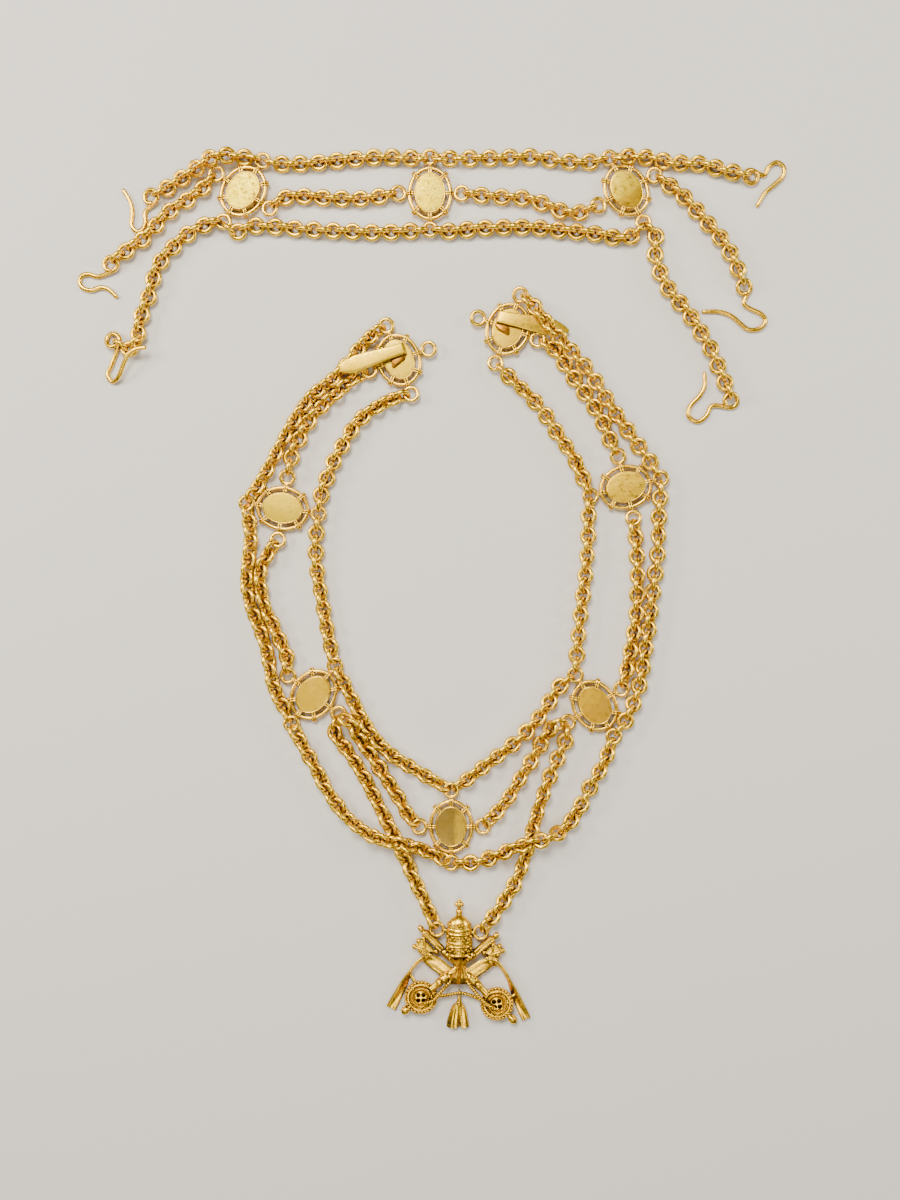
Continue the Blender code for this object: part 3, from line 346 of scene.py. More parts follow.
def gilding(name, gold, tarnish_and_shade, roughness, grain, tarnish=0.35, crevice=0.0020, open_share=0.74, brushed=None,
            cloud=None):
    """Worn gilding: a tint in soft patches, painted brown shade in the crevices, a fine grain and, if asked, a brushed
    lay.

    crevice is how far the painted crevice shade reaches and open_share how open a spot must be to stay free of it;
    brushed is the heading of the brush marks in degrees; cloud gives a place, a heading and a colour beyond it.
    """
    material = bpy.data.materials.new(name)
    material.use_nodes = True
    nodes, links = material.node_tree.nodes, material.node_tree.links
    shader = nodes["Principled BSDF"]
    shader.inputs["Metallic"].default_value = 1.0
    place = nodes.new("ShaderNodeTexCoord").outputs["Object"]

    def turned(heading, stretch=(1.0, 1.0, 1.0)):
        mapping = nodes.new("ShaderNodeMapping")
        mapping.vector_type = "TEXTURE"
        mapping.inputs["Rotation"].default_value[2] = math.radians(heading)
        mapping.inputs["Scale"].default_value = stretch
        links.new(place, mapping.inputs["Vector"])
        return mapping

    def noise(scale, detail, rough=0.55, source=place):
        texture = nodes.new("ShaderNodeTexNoise")
        texture.inputs["Scale"].default_value = scale
        texture.inputs["Detail"].default_value = detail
        texture.inputs["Roughness"].default_value = rough
        links.new(source, texture.inputs["Vector"])
        return texture.outputs["Fac"]

    def ramp(source, low, high, start, end):
        mapped = nodes.new("ShaderNodeMapRange")
        mapped.inputs["From Min"].default_value = low
        mapped.inputs["From Max"].default_value = high
        mapped.inputs["To Min"].default_value = start
        mapped.inputs["To Max"].default_value = end
        links.new(source, mapped.inputs["Value"])
        return mapped.outputs[0]

    def blend(factor, first, second):
        mix = nodes.new("ShaderNodeMix")
        mix.data_type = "RGBA"
        links.new(factor, mix.inputs[0])
        for socket, colour in ((mix.inputs[6], first), (mix.inputs[7], second)):
            if isinstance(colour, tuple):
                socket.default_value = (*colour, 1.0)
            else:
                links.new(colour, socket)
        return mix.outputs[2]

    pale = tuple(min(1.0, c * 1.06 + 0.02) for c in gold)
    tint = blend(ramp(noise(160.0, 3.0), 0.35, 0.68, 0.0, 1.0), gold, pale)
    if cloud:
        (x, y), heading, beyond = cloud
        across = turned(heading)
        across.inputs["Location"].default_value = (x, y, 0.0)
        split = nodes.new("ShaderNodeSeparateXYZ")
        links.new(across.outputs[0], split.inputs[0])
        wander = nodes.new("ShaderNodeMath")
        wander.operation = "ADD"
        links.new(split.outputs["X"], wander.inputs[0])
        links.new(ramp(noise(260.0, 2.0), 0.3, 0.7, -0.0008, 0.0008), wander.inputs[1])
        tint = blend(ramp(wander.outputs[0], -0.0009, 0.0009, 0.0, 1.0), tint, beyond)
    tint = blend(ramp(noise(420.0, 4.0, 0.65), 0.52, 0.78, 0.0, tarnish), tint, tarnish_and_shade)
    height = noise(1500.0, 4.0, 0.6)
    if brushed is not None:
        marks = noise(1.0, 4.0, 0.7, turned(brushed, (0.02, 0.0006, 0.02)).outputs[0])
        tint = blend(ramp(marks, 0.58, 0.75, 0.0, tarnish), tint, tarnish_and_shade)
        height = marks
    # Painted shade: where ambient occlusion finds a crevice or a touching part, the colour is darkened towards the
    # brown shade colour.
    shadow = nodes.new("ShaderNodeAmbientOcclusion")
    shadow.samples = 6
    shadow.inputs["Distance"].default_value = crevice
    finished = blend(ramp(shadow.outputs["AO"], open_share - 0.52, open_share, 1.0, 0.0), tint, tarnish_and_shade)
    links.new(finished, shader.inputs["Base Color"])
    rough = ramp(noise(900.0, 3.0), 0.3, 0.7, roughness - 0.07, roughness + 0.10)
    links.new(rough, shader.inputs["Roughness"])
    bump = nodes.new("ShaderNodeBump")
    bump.inputs["Strength"].default_value = grain
    bump.inputs["Distance"].default_value = 0.0002
    links.new(height, bump.inputs["Height"])
    links.new(bump.outputs[0], shader.inputs["Normal"])
    return material


def skin(rings, closed=False):
    """Points and faces of one surface through rings of points, capped at both ends unless it closes on itself."""
    count, sides = len(rings), len(rings[0])
    faces = []
    for i in range(count if closed else count - 1):
        a, b = i * sides, (i + 1) % count * sides
        faces += [(a + j, a + (j + 1) % sides, b + (j + 1) % sides, b + j) for j in range(sides)]
    if not closed:
        faces.append(tuple(reversed(range(sides))))
        faces.append(tuple(range((count - 1) * sides, count * sides)))
    return np.array([tuple(point) for ring in rings for point in ring]), faces


def sweep(points, radius, sides=12, closed=False):
    """A wire along points, with rounded tips unless it closes on itself."""
    line = [Vector(point) for point in points]
    sizes = list(radius) if isinstance(radius, (list, tuple)) else [radius] * len(line)
    if not closed:
        for end, near in ((0, 1), (-1, -2)):
            tip, size, way = line[end], sizes[end], (line[end] - line[near]).normalized()
            for lean in (30.0, 60.0, 85.0):
                further = tip + way * size * math.sin(math.radians(lean))
                line.insert(0, further) if end == 0 else line.append(further)
                smaller = size * math.cos(math.radians(lean))
                sizes.insert(0, smaller) if end == 0 else sizes.append(smaller)
            near = near + 3 if end == 0 else near
    rings, side = [], None
    for i, point in enumerate(line):
        before = line[i - 1] if i > 0 or closed else point
        after = line[(i + 1) % len(line)] if i < len(line) - 1 or closed else point
        forward = (after - before).normalized()
        if side is None:
            level = Vector((0.0, 0.0, 1.0)) if abs(forward.z) < 0.9 else Vector((1.0, 0.0, 0.0))
            side = forward.cross(level)
        side = (side - forward * side.dot(forward)).normalized()
        up = side.cross(forward)
        turns = [math.tau * j / sides for j in range(sides)]
        rings.append([point + sizes[i] * (math.cos(a) * side + math.sin(a) * up) for a in turns])
    return skin(rings, closed)


def moved(part, matrix):
    """The same points and faces, carried by a matrix."""
    points, faces = part
    turn = np.array(matrix.to_3x3())
    return points @ turn.T + np.array(matrix.translation), faces


def fitted(name, parts, material, node):
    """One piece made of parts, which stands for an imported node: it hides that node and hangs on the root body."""
    points, faces, shift = [], [], 0
    for part_points, part_faces in parts:
        points.append(part_points)
        faces += [tuple(i + shift for i in face) for face in part_faces]
        shift += len(part_points)
    mesh = bpy.data.meshes.new(name)
    mesh.from_pydata(np.concatenate(points).tolist(), [], faces)
    mesh.materials.append(material)
    shape = bmesh.new()
    shape.from_mesh(mesh)
    bmesh.ops.recalc_face_normals(shape, faces=shape.faces)
    shape.to_mesh(mesh)
    shape.free()
    mesh.shade_smooth()
    mesh.set_sharp_from_angle(angle=math.radians(50.0))
    piece = bpy.data.objects.new(name, mesh)
    bpy.context.scene.collection.objects.link(piece)
    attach(piece, "root")
    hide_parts(node)
    return piece


def smooth_run(points):
    """Closely spaced points on a smooth curve through the given ones, and the way along it to each."""
    ends = [2 * points[0] - points[1], *points, 2 * points[-1] - points[-2]]
    fine = []
    for a, b, c, d in zip(ends, ends[1:], ends[2:], ends[3:]):
        for i in range(12):
            t = i / 12
            fine.append(0.5 * (2 * b + (c - a) * t + (2 * a - 5 * b + 4 * c - d) * t ** 2
                               + (3 * b - a - 3 * c + d) * t ** 3))
    fine.append(points[-1])
    way = [0.0]
    for first, second in zip(fine, fine[1:]):
        way.append(way[-1] + (second - first).length)
    return fine, way


def point_at(run, reach):
    """The point at a given way along a smooth run."""
    fine, way = run
    i = max(0, min(int(np.searchsorted(way, reach)) - 1, len(fine) - 2))
    return fine[i].lerp(fine[i + 1], (reach - way[i]) / (way[i + 1] - way[i]))


def link_form():
    """One link along X in the plane of X and Y, a little thinner at its worn ends."""
    rings = []
    for i in range(LINK_STEPS):
        a = math.tau * i / LINK_STEPS
        out = Vector((math.cos(a), math.sin(a), 0.0))
        centre = Vector(((LINK_LENGTH - LINK_WIRE) / 2 * out.x, (LINK_WIDTH - LINK_WIRE) / 2 * out.y, 0.0))
        radius = LINK_WIRE / 2 * (1.02 - 0.06 * out.x ** 2)
        turns = [math.tau * j / LINK_SIDES for j in range(LINK_SIDES)]
        rings.append([centre + radius * (math.cos(b) * out + Vector((0.0, 0.0, math.sin(b)))) for b in turns])
    return skin(rings, closed=True)


def ring_place(owner, side):
    """Middle of the ring or hook eye that a strand hangs on."""
    if side == "eye":
        return Vector(HOOK_EYES[owner.removeprefix("hook_")])
    if owner == "badge":
        return Vector(BADGE_PLACE) + Vector(BADGE_RINGS[side])
    x, y, heading = MEDALLIONS[owner]
    angle = math.radians(heading + RING_HEADINGS[side])
    span = FRAME_LENGTH if side in ("head", "foot") else FRAME_WIDTH
    reach = span / 2 + RING_STEM + RING_DIAMETER / 2
    return Vector((x + reach * math.cos(angle), y + reach * math.sin(angle)))


def strand_links(name, chance):
    """The links of a strand, each through the one before, from ring to ring."""
    route = STRAND_ROUTES[name]
    line = [Vector((p[0], p[1], p[2] * NESTING if len(p) > 2 else 0.0)) for p in route]
    for end, place in ((0, STRAND_ENDS[name][0]), (-1, STRAND_ENDS[name][1])):
        lift = BADGE_HEIGHT - RING_HEIGHT if place[0] == "badge" else line[end].z
        tip = Vector((*ring_place(*place), lift))
        line.insert(0, tip) if end == 0 else line.append(tip)
    run = smooth_run(line)
    span = run[1][-1] - 2 * FIRST_LINK
    count = 2 * math.ceil(span / LINK_PITCH / 2 - 0.2) + 1
    pitch = span / (count - 1)
    lays = LAYS[name]
    form, links = link_form(), []
    for i in range(count):
        share = i / (count - 1)
        reach = FIRST_LINK + span * share
        centre = point_at(run, reach)
        forward = (point_at(run, reach + pitch / 2) - point_at(run, reach - pitch / 2)).normalized()
        lay = float(np.interp(share, np.linspace(0.0, 1.0, len(lays)), lays))
        roll = math.radians(lay + (90 if i % 2 == 0 else 0) + chance.uniform(-LINK_LEAN, LINK_LEAN))
        rest = LINK_WIRE * 0.51 + (LINK_WIDTH - LINK_WIRE) / 2 * abs(math.sin(roll))
        centre.z = max(centre.z, 0.0) + max(LOW_LINK, rest)
        turn = forward.to_track_quat("X", "Z").to_matrix() @ Matrix.Rotation(roll, 3, "X")
        links.append(moved(form, Matrix.Translation(centre) @ turn.to_4x4()))
    return links


GOLD = (0.96, 0.595, 0.022)
# Brown of the tarnish spots and of the painted shade in crevices and where links touch.
BROWN_TARNISH_AND_SHADING = (0.078, 0.028, 0.003)
chain_gilt = gilding("worn_gilt_chain_painted_shading", GOLD, BROWN_TARNISH_AND_SHADING, roughness=0.29, grain=0.22)
for number, strand in enumerate(STRAND_ENDS):
    fitted("links_" + strand, strand_links(strand, random.Random(number)), chain_gilt,
           "chain_" + strand)

# Medallions: an oval gilt case with a plain back plate in a thin bezel, inside an oval frame of thick wire.
# Eight straps of doubled wire are soldered to the case and lapped over the frame; four of them end in a neck
# and a ring for the strands, and the other four in two small knobs. The collar lies face down, backs up.
FRAME_WIRE = 0.0018
CASE_LENGTH = 0.0190
CASE_WIDTH = 0.0148
CASE_HEIGHT = 0.0046
CASE_TAPER = 0.0005
BEZEL = 0.00045
PLATE_DEPTH = 0.00014
OVAL_STEPS = 72
STRAP_WIRE = 0.00047
STRAP_GAP = 0.00049
KNOB = 0.00056
RING_TILT = 6.0


def on_oval(length, width, height, angle):
    """Point of an oval whose long side lies along X."""
    return Vector((length / 2 * math.cos(angle), width / 2 * math.sin(angle), height))


def oval_ring(inset, height, steps=OVAL_STEPS):
    """Points round the case, drawn in from its outer edge by an inset."""
    turns = [math.tau * i / steps for i in range(steps)]
    return [on_oval(CASE_LENGTH - 2 * inset, CASE_WIDTH - 2 * inset, height, a) for a in turns]


def case_part():
    """Case from its plain face on the table up its side and over the bezel to the seat of the plate."""
    rows = (
        (0.0011, 0.0), (0.0005, 0.0001), (0.0002, 0.0003), (0.0, 0.0007), (CASE_TAPER * 0.6, CASE_HEIGHT * 0.6),
        (CASE_TAPER, CASE_HEIGHT - 0.0003), (CASE_TAPER + 0.00006, CASE_HEIGHT - 0.0001),
        (CASE_TAPER + 0.00018, CASE_HEIGHT), (CASE_TAPER + BEZEL - 0.0001, CASE_HEIGHT),
        (CASE_TAPER + BEZEL, CASE_HEIGHT - 0.00006), (CASE_TAPER + BEZEL, CASE_HEIGHT - 0.0006),
    )
    return skin([oval_ring(inset, height) for inset, height in rows])


def plate_part():
    """Back plate: seated in the bezel, slightly crowned and not quite even."""
    edge = CASE_TAPER + BEZEL
    top = CASE_HEIGHT - PLATE_DEPTH
    rows = [oval_ring(edge, top - 0.0005), oval_ring(edge, top - 0.00003)]
    half = CASE_WIDTH / 2 - edge
    for share in (0.02, 0.06, 0.14, 0.28, 0.44, 0.60, 0.75, 0.88, 0.97):
        rows.append(oval_ring(edge + half * share, top + 0.00010 * math.sin(share * math.pi / 2)))
    return skin(rows)


def strap_parts(angle, to_ring):
    """Two wires side by side from the case over the frame, with knobs outside or a neck to the ring."""
    foot = on_oval(CASE_LENGTH - 0.0012, CASE_WIDTH - 0.0012, 0.0, angle)
    wire = on_oval(FRAME_LENGTH - FRAME_WIRE, FRAME_WIDTH - FRAME_WIRE, 0.0, angle)
    out = (wire - foot).normalized()
    side = Vector((-out.y, out.x, 0.0))
    over = RING_HEIGHT + FRAME_WIRE / 2 + STRAP_WIRE * 0.5
    edge = FRAME_WIRE / 2 + STRAP_WIRE
    parts = []
    for offset in (-STRAP_GAP, STRAP_GAP):
        points = [
            foot + Vector((0, 0, RING_HEIGHT + 0.0009)), foot + out * 0.0009 + Vector((0, 0, RING_HEIGHT + 0.0010)),
            wire - out * edge * 0.6 + Vector((0, 0, over - 0.00018)), wire + Vector((0, 0, over)),
            wire + out * edge * 0.75 + Vector((0, 0, over - 0.00035)),
            wire + out * edge * 1.12 + Vector((0, 0, RING_HEIGHT)),
            wire + out * edge * 0.7 + Vector((0, 0, RING_HEIGHT - 0.0008)),
        ]
        line, _ = smooth_run([point + side * offset for point in points])
        parts.append(sweep(line[::3] + [line[-1]], STRAP_WIRE, 10))
        if not to_ring:
            knob = wire + out * (edge + KNOB * 0.1) + side * offset * 1.2
            parts.append(bead(knob + Vector((0, 0, RING_HEIGHT + 0.00015)), KNOB))
    if to_ring:
        start, end = wire + out * FRAME_WIRE * 0.3, wire + out * (FRAME_WIRE / 2 + RING_STEM + RING_WIRE * 0.5)
        height = Vector((0, 0, RING_HEIGHT + 0.0001))
        parts.append(sweep([start + height, start.lerp(end, 0.5) + height, end + height],
                           [0.00085, 0.00070, 0.00062], 12))
    return parts


def bead(centre, radius, flatten=1.0, sides=12):
    """A small ball, flattened in Z if asked."""
    rows = []
    for i in range(1, 8):
        a = math.pi * i / 8
        turns = [math.tau * j / sides for j in range(sides)]
        rows.append([Vector(centre) + radius * Vector((math.sin(a) * math.cos(b), math.sin(a) * math.sin(b),
                                                       -math.cos(a) * flatten)) for b in turns])
    return skin(rows)


def ring_part(centre, tilt_axis, diameter, wire, tilt, stretch=1.0):
    """A round ring about a centre, tipped about an axis."""
    across = (diameter - wire) / 2
    turn = Matrix.Rotation(math.radians(tilt), 3, tilt_axis)
    turns = [math.tau * i / 36 for i in range(36)]
    line = [Vector(centre) + turn @ Vector((across * math.cos(a) * stretch, across * math.sin(a), 0.0)) for a in turns]
    return sweep(line, wire / 2, 12, closed=True)


def medallion_parts():
    """Case, frame, straps and rings of one medallion that lies along X."""
    turns = [math.tau * i / OVAL_STEPS for i in range(OVAL_STEPS)]
    frame_line = [on_oval(FRAME_LENGTH - FRAME_WIRE, FRAME_WIDTH - FRAME_WIRE, RING_HEIGHT, a) for a in turns]
    parts = [case_part(), sweep(frame_line, FRAME_WIRE / 2, 14, closed=True)]
    for i in range(8):
        parts += strap_parts(math.radians(45.0 * i), i % 2 == 0)
    for side, heading in RING_HEADINGS.items():
        span = FRAME_LENGTH if side in ("head", "foot") else FRAME_WIDTH
        reach = span / 2 + RING_STEM + RING_DIAMETER / 2
        ring = ring_part((reach, 0.0, RING_HEIGHT + 0.0002), Vector((0, 1, 0)), RING_DIAMETER, RING_WIRE, -RING_TILT)
        parts.append(moved(ring, Matrix.Rotation(math.radians(heading), 4, "Z")))
    return parts


# Each plate's gold is matched to how bright it looks, so besides its own tone and tarnish it holds painted light and
# shade: the nape plates, in the key lamp's reflection, are given a darker gold to hold down its glare.
PLATES = {
    "nape_left": {"gold": (0.34, 0.255, 0.001), "tarnish_and_shade": (0.12, 0.065, 0.001), "stain": 1.7, "rough": 0.34},
    "nape_centre": {"gold": (0.33, 0.24, 0.001), "tarnish_and_shade": (0.12, 0.065, 0.001), "stain": 1.3, "rough": 0.34},
    "nape_right": {"gold": (0.42, 0.295, 0.002), "tarnish_and_shade": (0.11, 0.055, 0.002), "stain": 1.5, "rough": 0.34},
    "shoulder_left": {"gold": (0.46, 0.31, 0.003), "tarnish_and_shade": (0.22, 0.11, 0.003), "stain": 0.6, "rough": 0.34},
    "shoulder_right": {"gold": (0.46, 0.295, 0.003), "tarnish_and_shade": (0.22, 0.10, 0.003), "stain": 0.6, "rough": 0.34},
    "chest_left": {"gold": (0.54, 0.37, 0.002), "tarnish_and_shade": (0.30, 0.16, 0.003), "stain": 0.55, "rough": 0.36},
    "chest_right": {"gold": (0.76, 0.48, 0.003), "tarnish_and_shade": (0.28, 0.13, 0.003), "stain": 1.3, "rough": 0.35},
    "side_left": {"gold": (0.66, 0.41, 0.002), "tarnish_and_shade": (0.40, 0.21, 0.003), "stain": 0.55, "rough": 0.36},
    "side_right": {"gold": (0.60, 0.33, 0.006), "tarnish_and_shade": (0.26, 0.115, 0.004), "stain": 0.85, "rough": 0.38},
    "front": {"gold": (0.235, 0.150, 0.020), "tarnish_and_shade": (0.15, 0.085, 0.012), "stain": 0.6, "rough": 0.34},
}
BRUSHED = {"nape_left": 20.0, "nape_right": -35.0, "chest_right": 4.0, "side_right": 40.0, "side_left": -30.0,
           "front": 90.0}
CLOUDS = {
    "front": ((0.0108, -0.1059), 0.0, (0.50, 0.32, 0.020)),
    "nape_right": ((0.0885, 0.1775), -60.0, (0.30, 0.18, 0.002)),
    "side_right": ((0.0735, -0.0500), 120.0, (0.70, 0.41, 0.006)),
}

# The frames get the same painted brown shade where straps, rings, frame and case crowd together.
frame_gilt = gilding("worn_gilt_frame_painted_shading", (0.96, 0.60, 0.04), BROWN_TARNISH_AND_SHADING, roughness=0.27, grain=0.18)
for medallion, (x, y, heading) in MEDALLIONS.items():
    stand = Matrix.Translation((x, y, 0.0)) @ Matrix.Rotation(math.radians(heading), 4, "Z")
    fitted("frame_" + medallion, [moved(part, stand) for part in medallion_parts()], frame_gilt,
           "medallion_" + medallion)
    finish = PLATES[medallion]
    plate_gilt = gilding("back_plate_" + medallion, finish["gold"], finish["tarnish_and_shade"], finish["rough"], grain=0.3,
                         tarnish=finish["stain"], brushed=BRUSHED.get(medallion), cloud=CLOUDS.get(medallion))
    fitted("plate_" + medallion, [moved(plate_part(), stand)], plate_gilt, "medallion_" + medallion)

# Shoulder clips: a strip of gilt sheet soldered by one leaf to the back of the case and folded over on itself.
# Its tongue narrows to a blunt point, slides behind a lapel or an epaulette cord and is burnished by wear; the
# end of the soldered leaf shows beside it, in the warm light between strip and case.
CLIP_THICKNESS = 0.0008
CLIP_FOLD_RISE = 0.0018
CLIP_LEAF = 0.0070
CLIP_LENGTH = 0.0325
CLIP_WIDTH = 0.0073
CLIPS = {
    "shoulder_left": {"fold": (0.0034, -0.0041), "heading": 87.7, "drop": 0.0},
    "shoulder_right": {"fold": (0.0030, 0.0059), "heading": -80.4, "drop": 0.0038},
}
CLIP_OUTLINE = (
    (0.0, 0.72), (0.22, 0.80), (0.45, 0.96), (0.66, 1.06), (0.78, 1.0), (0.90, 0.66), (0.97, 0.34), (1.0, 0.14),
)
# The right clip's gold is much paler than the left one's: painted light, for the bright sheen its tongue lacks while
# it reflects the dark room.
CLIP_GOLDS_AND_SHEEN = {"shoulder_left": (0.50, 0.325, 0.002), "shoulder_right": (0.84, 0.53, 0.004)}
LEAVES = {
    "shoulder_left": ((-0.0180, 0.1042), (-0.0128, 0.1058), (-0.0116, 0.1045), (-0.0124, 0.1027),
                      (-0.0150, 0.1006), (-0.0172, 0.0991), (-0.0180, 0.1012)),
    "shoulder_right": ((0.0282, 0.1186), (0.0308, 0.1191), (0.0332, 0.1182), (0.0349, 0.1166),
                       (0.0342, 0.1138), (0.0316, 0.1150), (0.0293, 0.1164)),
}


def clip_part(fold, heading, drop):
    """The strip from its soldered leaf round the fold to the tip of the tongue, with softened edges."""
    leaf = CASE_HEIGHT + CLIP_THICKNESS * 0.3
    half_rise = CLIP_FOLD_RISE / 2
    width = CLIP_WIDTH * CLIP_OUTLINE[0][1]
    rows = [(CLIP_LEAF * (1 - i / 4) + half_rise * i / 4, leaf, width) for i in range(4)]
    for i in range(13):
        a = math.pi * i / 12
        rows.append((half_rise * (1 - math.sin(a)), leaf + half_rise * (1 - math.cos(a)), width))
    shares, widths = zip(*CLIP_OUTLINE)
    for i in range(1, 37):
        share = (i / 36) ** 0.8
        along = half_rise + (CLIP_LENGTH - half_rise) * share
        crown = 0.00035 * math.sin(share * math.pi)
        rows.append((along, leaf + CLIP_FOLD_RISE + crown - drop * share ** 1.5,
                     CLIP_WIDTH * float(np.interp(share, shares, widths))))
    turn = Matrix.Rotation(math.radians(heading), 3, "Z")
    line = [Vector((along, height)) for along, height, _ in rows]
    rings = []
    for i, (along, height, width) in enumerate(rows):
        run = line[min(i + 1, len(rows) - 1)] - line[max(i - 1, 0)]
        across = Vector((-run.y, run.x)).normalized()
        ring = []
        for j in range(16):
            a = math.tau * (j + 0.5) / 16
            flat = math.copysign(abs(math.cos(a)) ** 0.35, math.cos(a)) * width / 2
            thick = math.copysign(abs(math.sin(a)) ** 0.7, math.sin(a)) * CLIP_THICKNESS / 2
            ring.append(Vector((*fold, 0.0)) + turn @ Vector((along + across.x * thick, flat, height + across.y * thick)))
        rings.append(ring)
    return skin(rings)


def cushion(outline, low, high, soften=0.0004):
    """A cast plate with rounded edges: its outline is drawn in a little at the foot and the top."""
    middle = sum((Vector(p) for p in outline), Vector((0, 0))) / len(outline)
    ends = [Vector(p) for p in outline]
    smooth = []
    for i in range(len(ends)):
        a, b, c, d = (ends[(i + k) % len(ends)] for k in (-1, 0, 1, 2))
        for t in (0.0, 0.2, 0.4, 0.6, 0.8):
            smooth.append(0.5 * (2 * b + (c - a) * t + (2 * a - 5 * b + 4 * c - d) * t ** 2
                                 + (3 * b - a - 3 * c + d) * t ** 3))
    rows = []
    for inset, height in ((soften, low), (0.0, low + soften), (0.0, high - soften), (soften * 0.35, high - soften * 0.3),
                          (soften, high), (soften * 2.2, high + 0.00008)):
        rows.append([Vector((*(p - (p - middle).normalized() * inset), height)) for p in smooth])
    return skin(rows)


# The leaf's dark orange gold is painted shade and warm light bounced between strip and case.
leaf_gilt = gilding("shaded_warm_lit_gilt_leaf", (0.33, 0.135, 0.001), (0.24, 0.08, 0.001), roughness=0.30, grain=0.12)
for medallion, clip in CLIPS.items():
    x, y, heading = MEDALLIONS[medallion]
    stand = Matrix.Translation((x, y, 0.0)) @ Matrix.Rotation(math.radians(heading), 4, "Z")
    clip_gilt = gilding("burnished_clip_" + medallion, CLIP_GOLDS_AND_SHEEN[medallion], (0.28, 0.14, 0.003), roughness=0.33,
                        grain=0.12, tarnish=0.30)
    fitted("clip_" + medallion, [moved(clip_part(**clip), stand)], clip_gilt,
           "medallion_" + medallion)
    fitted("leaf_" + medallion, [cushion(LEAVES[medallion], CASE_HEIGHT - 0.0003, CASE_HEIGHT + 0.0007, 0.0002)],
           leaf_gilt, "medallion_" + medallion)

# Hooks: each is one length of hard brass wire, turned into an eye on the last link of a strand of the nape
# section and bent back into an open crook that goes into a free ring of a shoulder medallion. Gilt like the links.
HOOK_WIRE = 0.0021
HOOK_EYE = 0.0082
HOOK_TURN = 320.0
HOOK_BENDS = {
    "left_outer": ((-0.1260, 0.1764), 1, [
        (-0.1287, 0.1700), (-0.1287, 0.1656), (-0.1301, 0.1620), (-0.1328, 0.1611),
        (-0.1350, 0.1642), (-0.1346, 0.1697), (-0.1355, 0.1742), (-0.1386, 0.1796),
    ]),
    "left_middle": ((-0.1440, 0.1462), 1, [
        (-0.1498, 0.1408), (-0.1539, 0.1418), (-0.1571, 0.1413), (-0.1584, 0.1382),
        (-0.1566, 0.1355), (-0.1530, 0.1346), (-0.1490, 0.1359), (-0.1453, 0.1350),
        (-0.1418, 0.1318),
    ]),
    "left_inner": ((-0.1431, 0.1120), 1, [
        (-0.1425, 0.1049), (-0.1440, 0.1008), (-0.1458, 0.0968), (-0.1436, 0.0936, 0.0003),
        (-0.1404, 0.0954, 0.0020), (-0.1377, 0.1008, 0.0040), (-0.1350, 0.1053, 0.0056),
        (-0.1314, 0.1075, 0.0056), (-0.1278, 0.1080, 0.0054),
    ]),
    "right_outer": ((0.1431, 0.1854), 1, [
        (0.1490, 0.1863), (0.1512, 0.1899), (0.1548, 0.1922), (0.1580, 0.1899),
        (0.1575, 0.1858), (0.1535, 0.1818), (0.1494, 0.1782), (0.1462, 0.1728),
    ]),
    "right_middle": ((0.1400, 0.1359), 1, [
        (0.1400, 0.1292), (0.1427, 0.1265), (0.1476, 0.1242), (0.1498, 0.1210),
        (0.1472, 0.1175), (0.1422, 0.1170), (0.1386, 0.1197), (0.1341, 0.1233),
        (0.1287, 0.1251), (0.1220, 0.1251),
    ]),
    "right_inner": ((0.1341, 0.0850), 1, [
        (0.1260, 0.0828), (0.1233, 0.0783), (0.1192, 0.0756), (0.1152, 0.0783),
        (0.1161, 0.0828), (0.1202, 0.0873), (0.1224, 0.0918), (0.1224, 0.0972),
    ]),
}


def hook_part(name):
    """Round the eye, whose far side is lifted by the last link, then out through the bends to the tip."""
    (eye, turn, bends) = HOOK_BENDS[name]
    centre, radius = Vector(eye), (HOOK_EYE - HOOK_WIRE) / 2
    first = Vector(bends[0][:2]) - centre
    leave = math.atan2(first.y, first.x) + turn * math.acos(radius / first.length)
    strand = next(s for s, ends in STRAND_ENDS.items() if ("hook_" + name, "eye") in ends)
    near = STRAND_ROUTES[strand][0 if STRAND_ENDS[strand][0][1] == "eye" else -1]
    chainward = (Vector(near[:2]) - centre).normalized()
    rest = HOOK_WIRE / 2
    line = []
    for i in range(31):
        a = leave + turn * math.radians(HOOK_TURN * (1 - i / 30))
        spot = Vector((math.cos(a), math.sin(a)))
        lift = 0.0009 * (1 + spot.dot(chainward)) + 0.0012 * (1 - i / 30) ** 3
        line.append(Vector((*(centre + radius * spot), rest + lift)))
    rest_of_it = [line[-1]] + [Vector((p[0], p[1], rest + (p[2] if len(p) > 2 else 0.0))) for p in bends]
    fine, _ = smooth_run(rest_of_it)
    line += [Vector((spot.x, spot.y, max(spot.z, rest))) for spot in fine[2::2]]
    sizes = [HOOK_WIRE / 2 * (1.0 if i < len(line) - 12 else 1.0 - 0.16 * (i - len(line) + 12) / 12)
             for i in range(len(line))]
    return sweep(line, sizes, 12)


# Painted brown shade where the eye meets the last link, as on the chain.
hook_gilt = gilding("worn_gilt_hook_painted_shading", (0.95, 0.575, 0.03), BROWN_TARNISH_AND_SHADING, roughness=0.26, grain=0.2)
for hook in HOOK_BENDS:
    fitted("crook_" + hook, [hook_part(hook)], hook_gilt, "hook_" + hook)

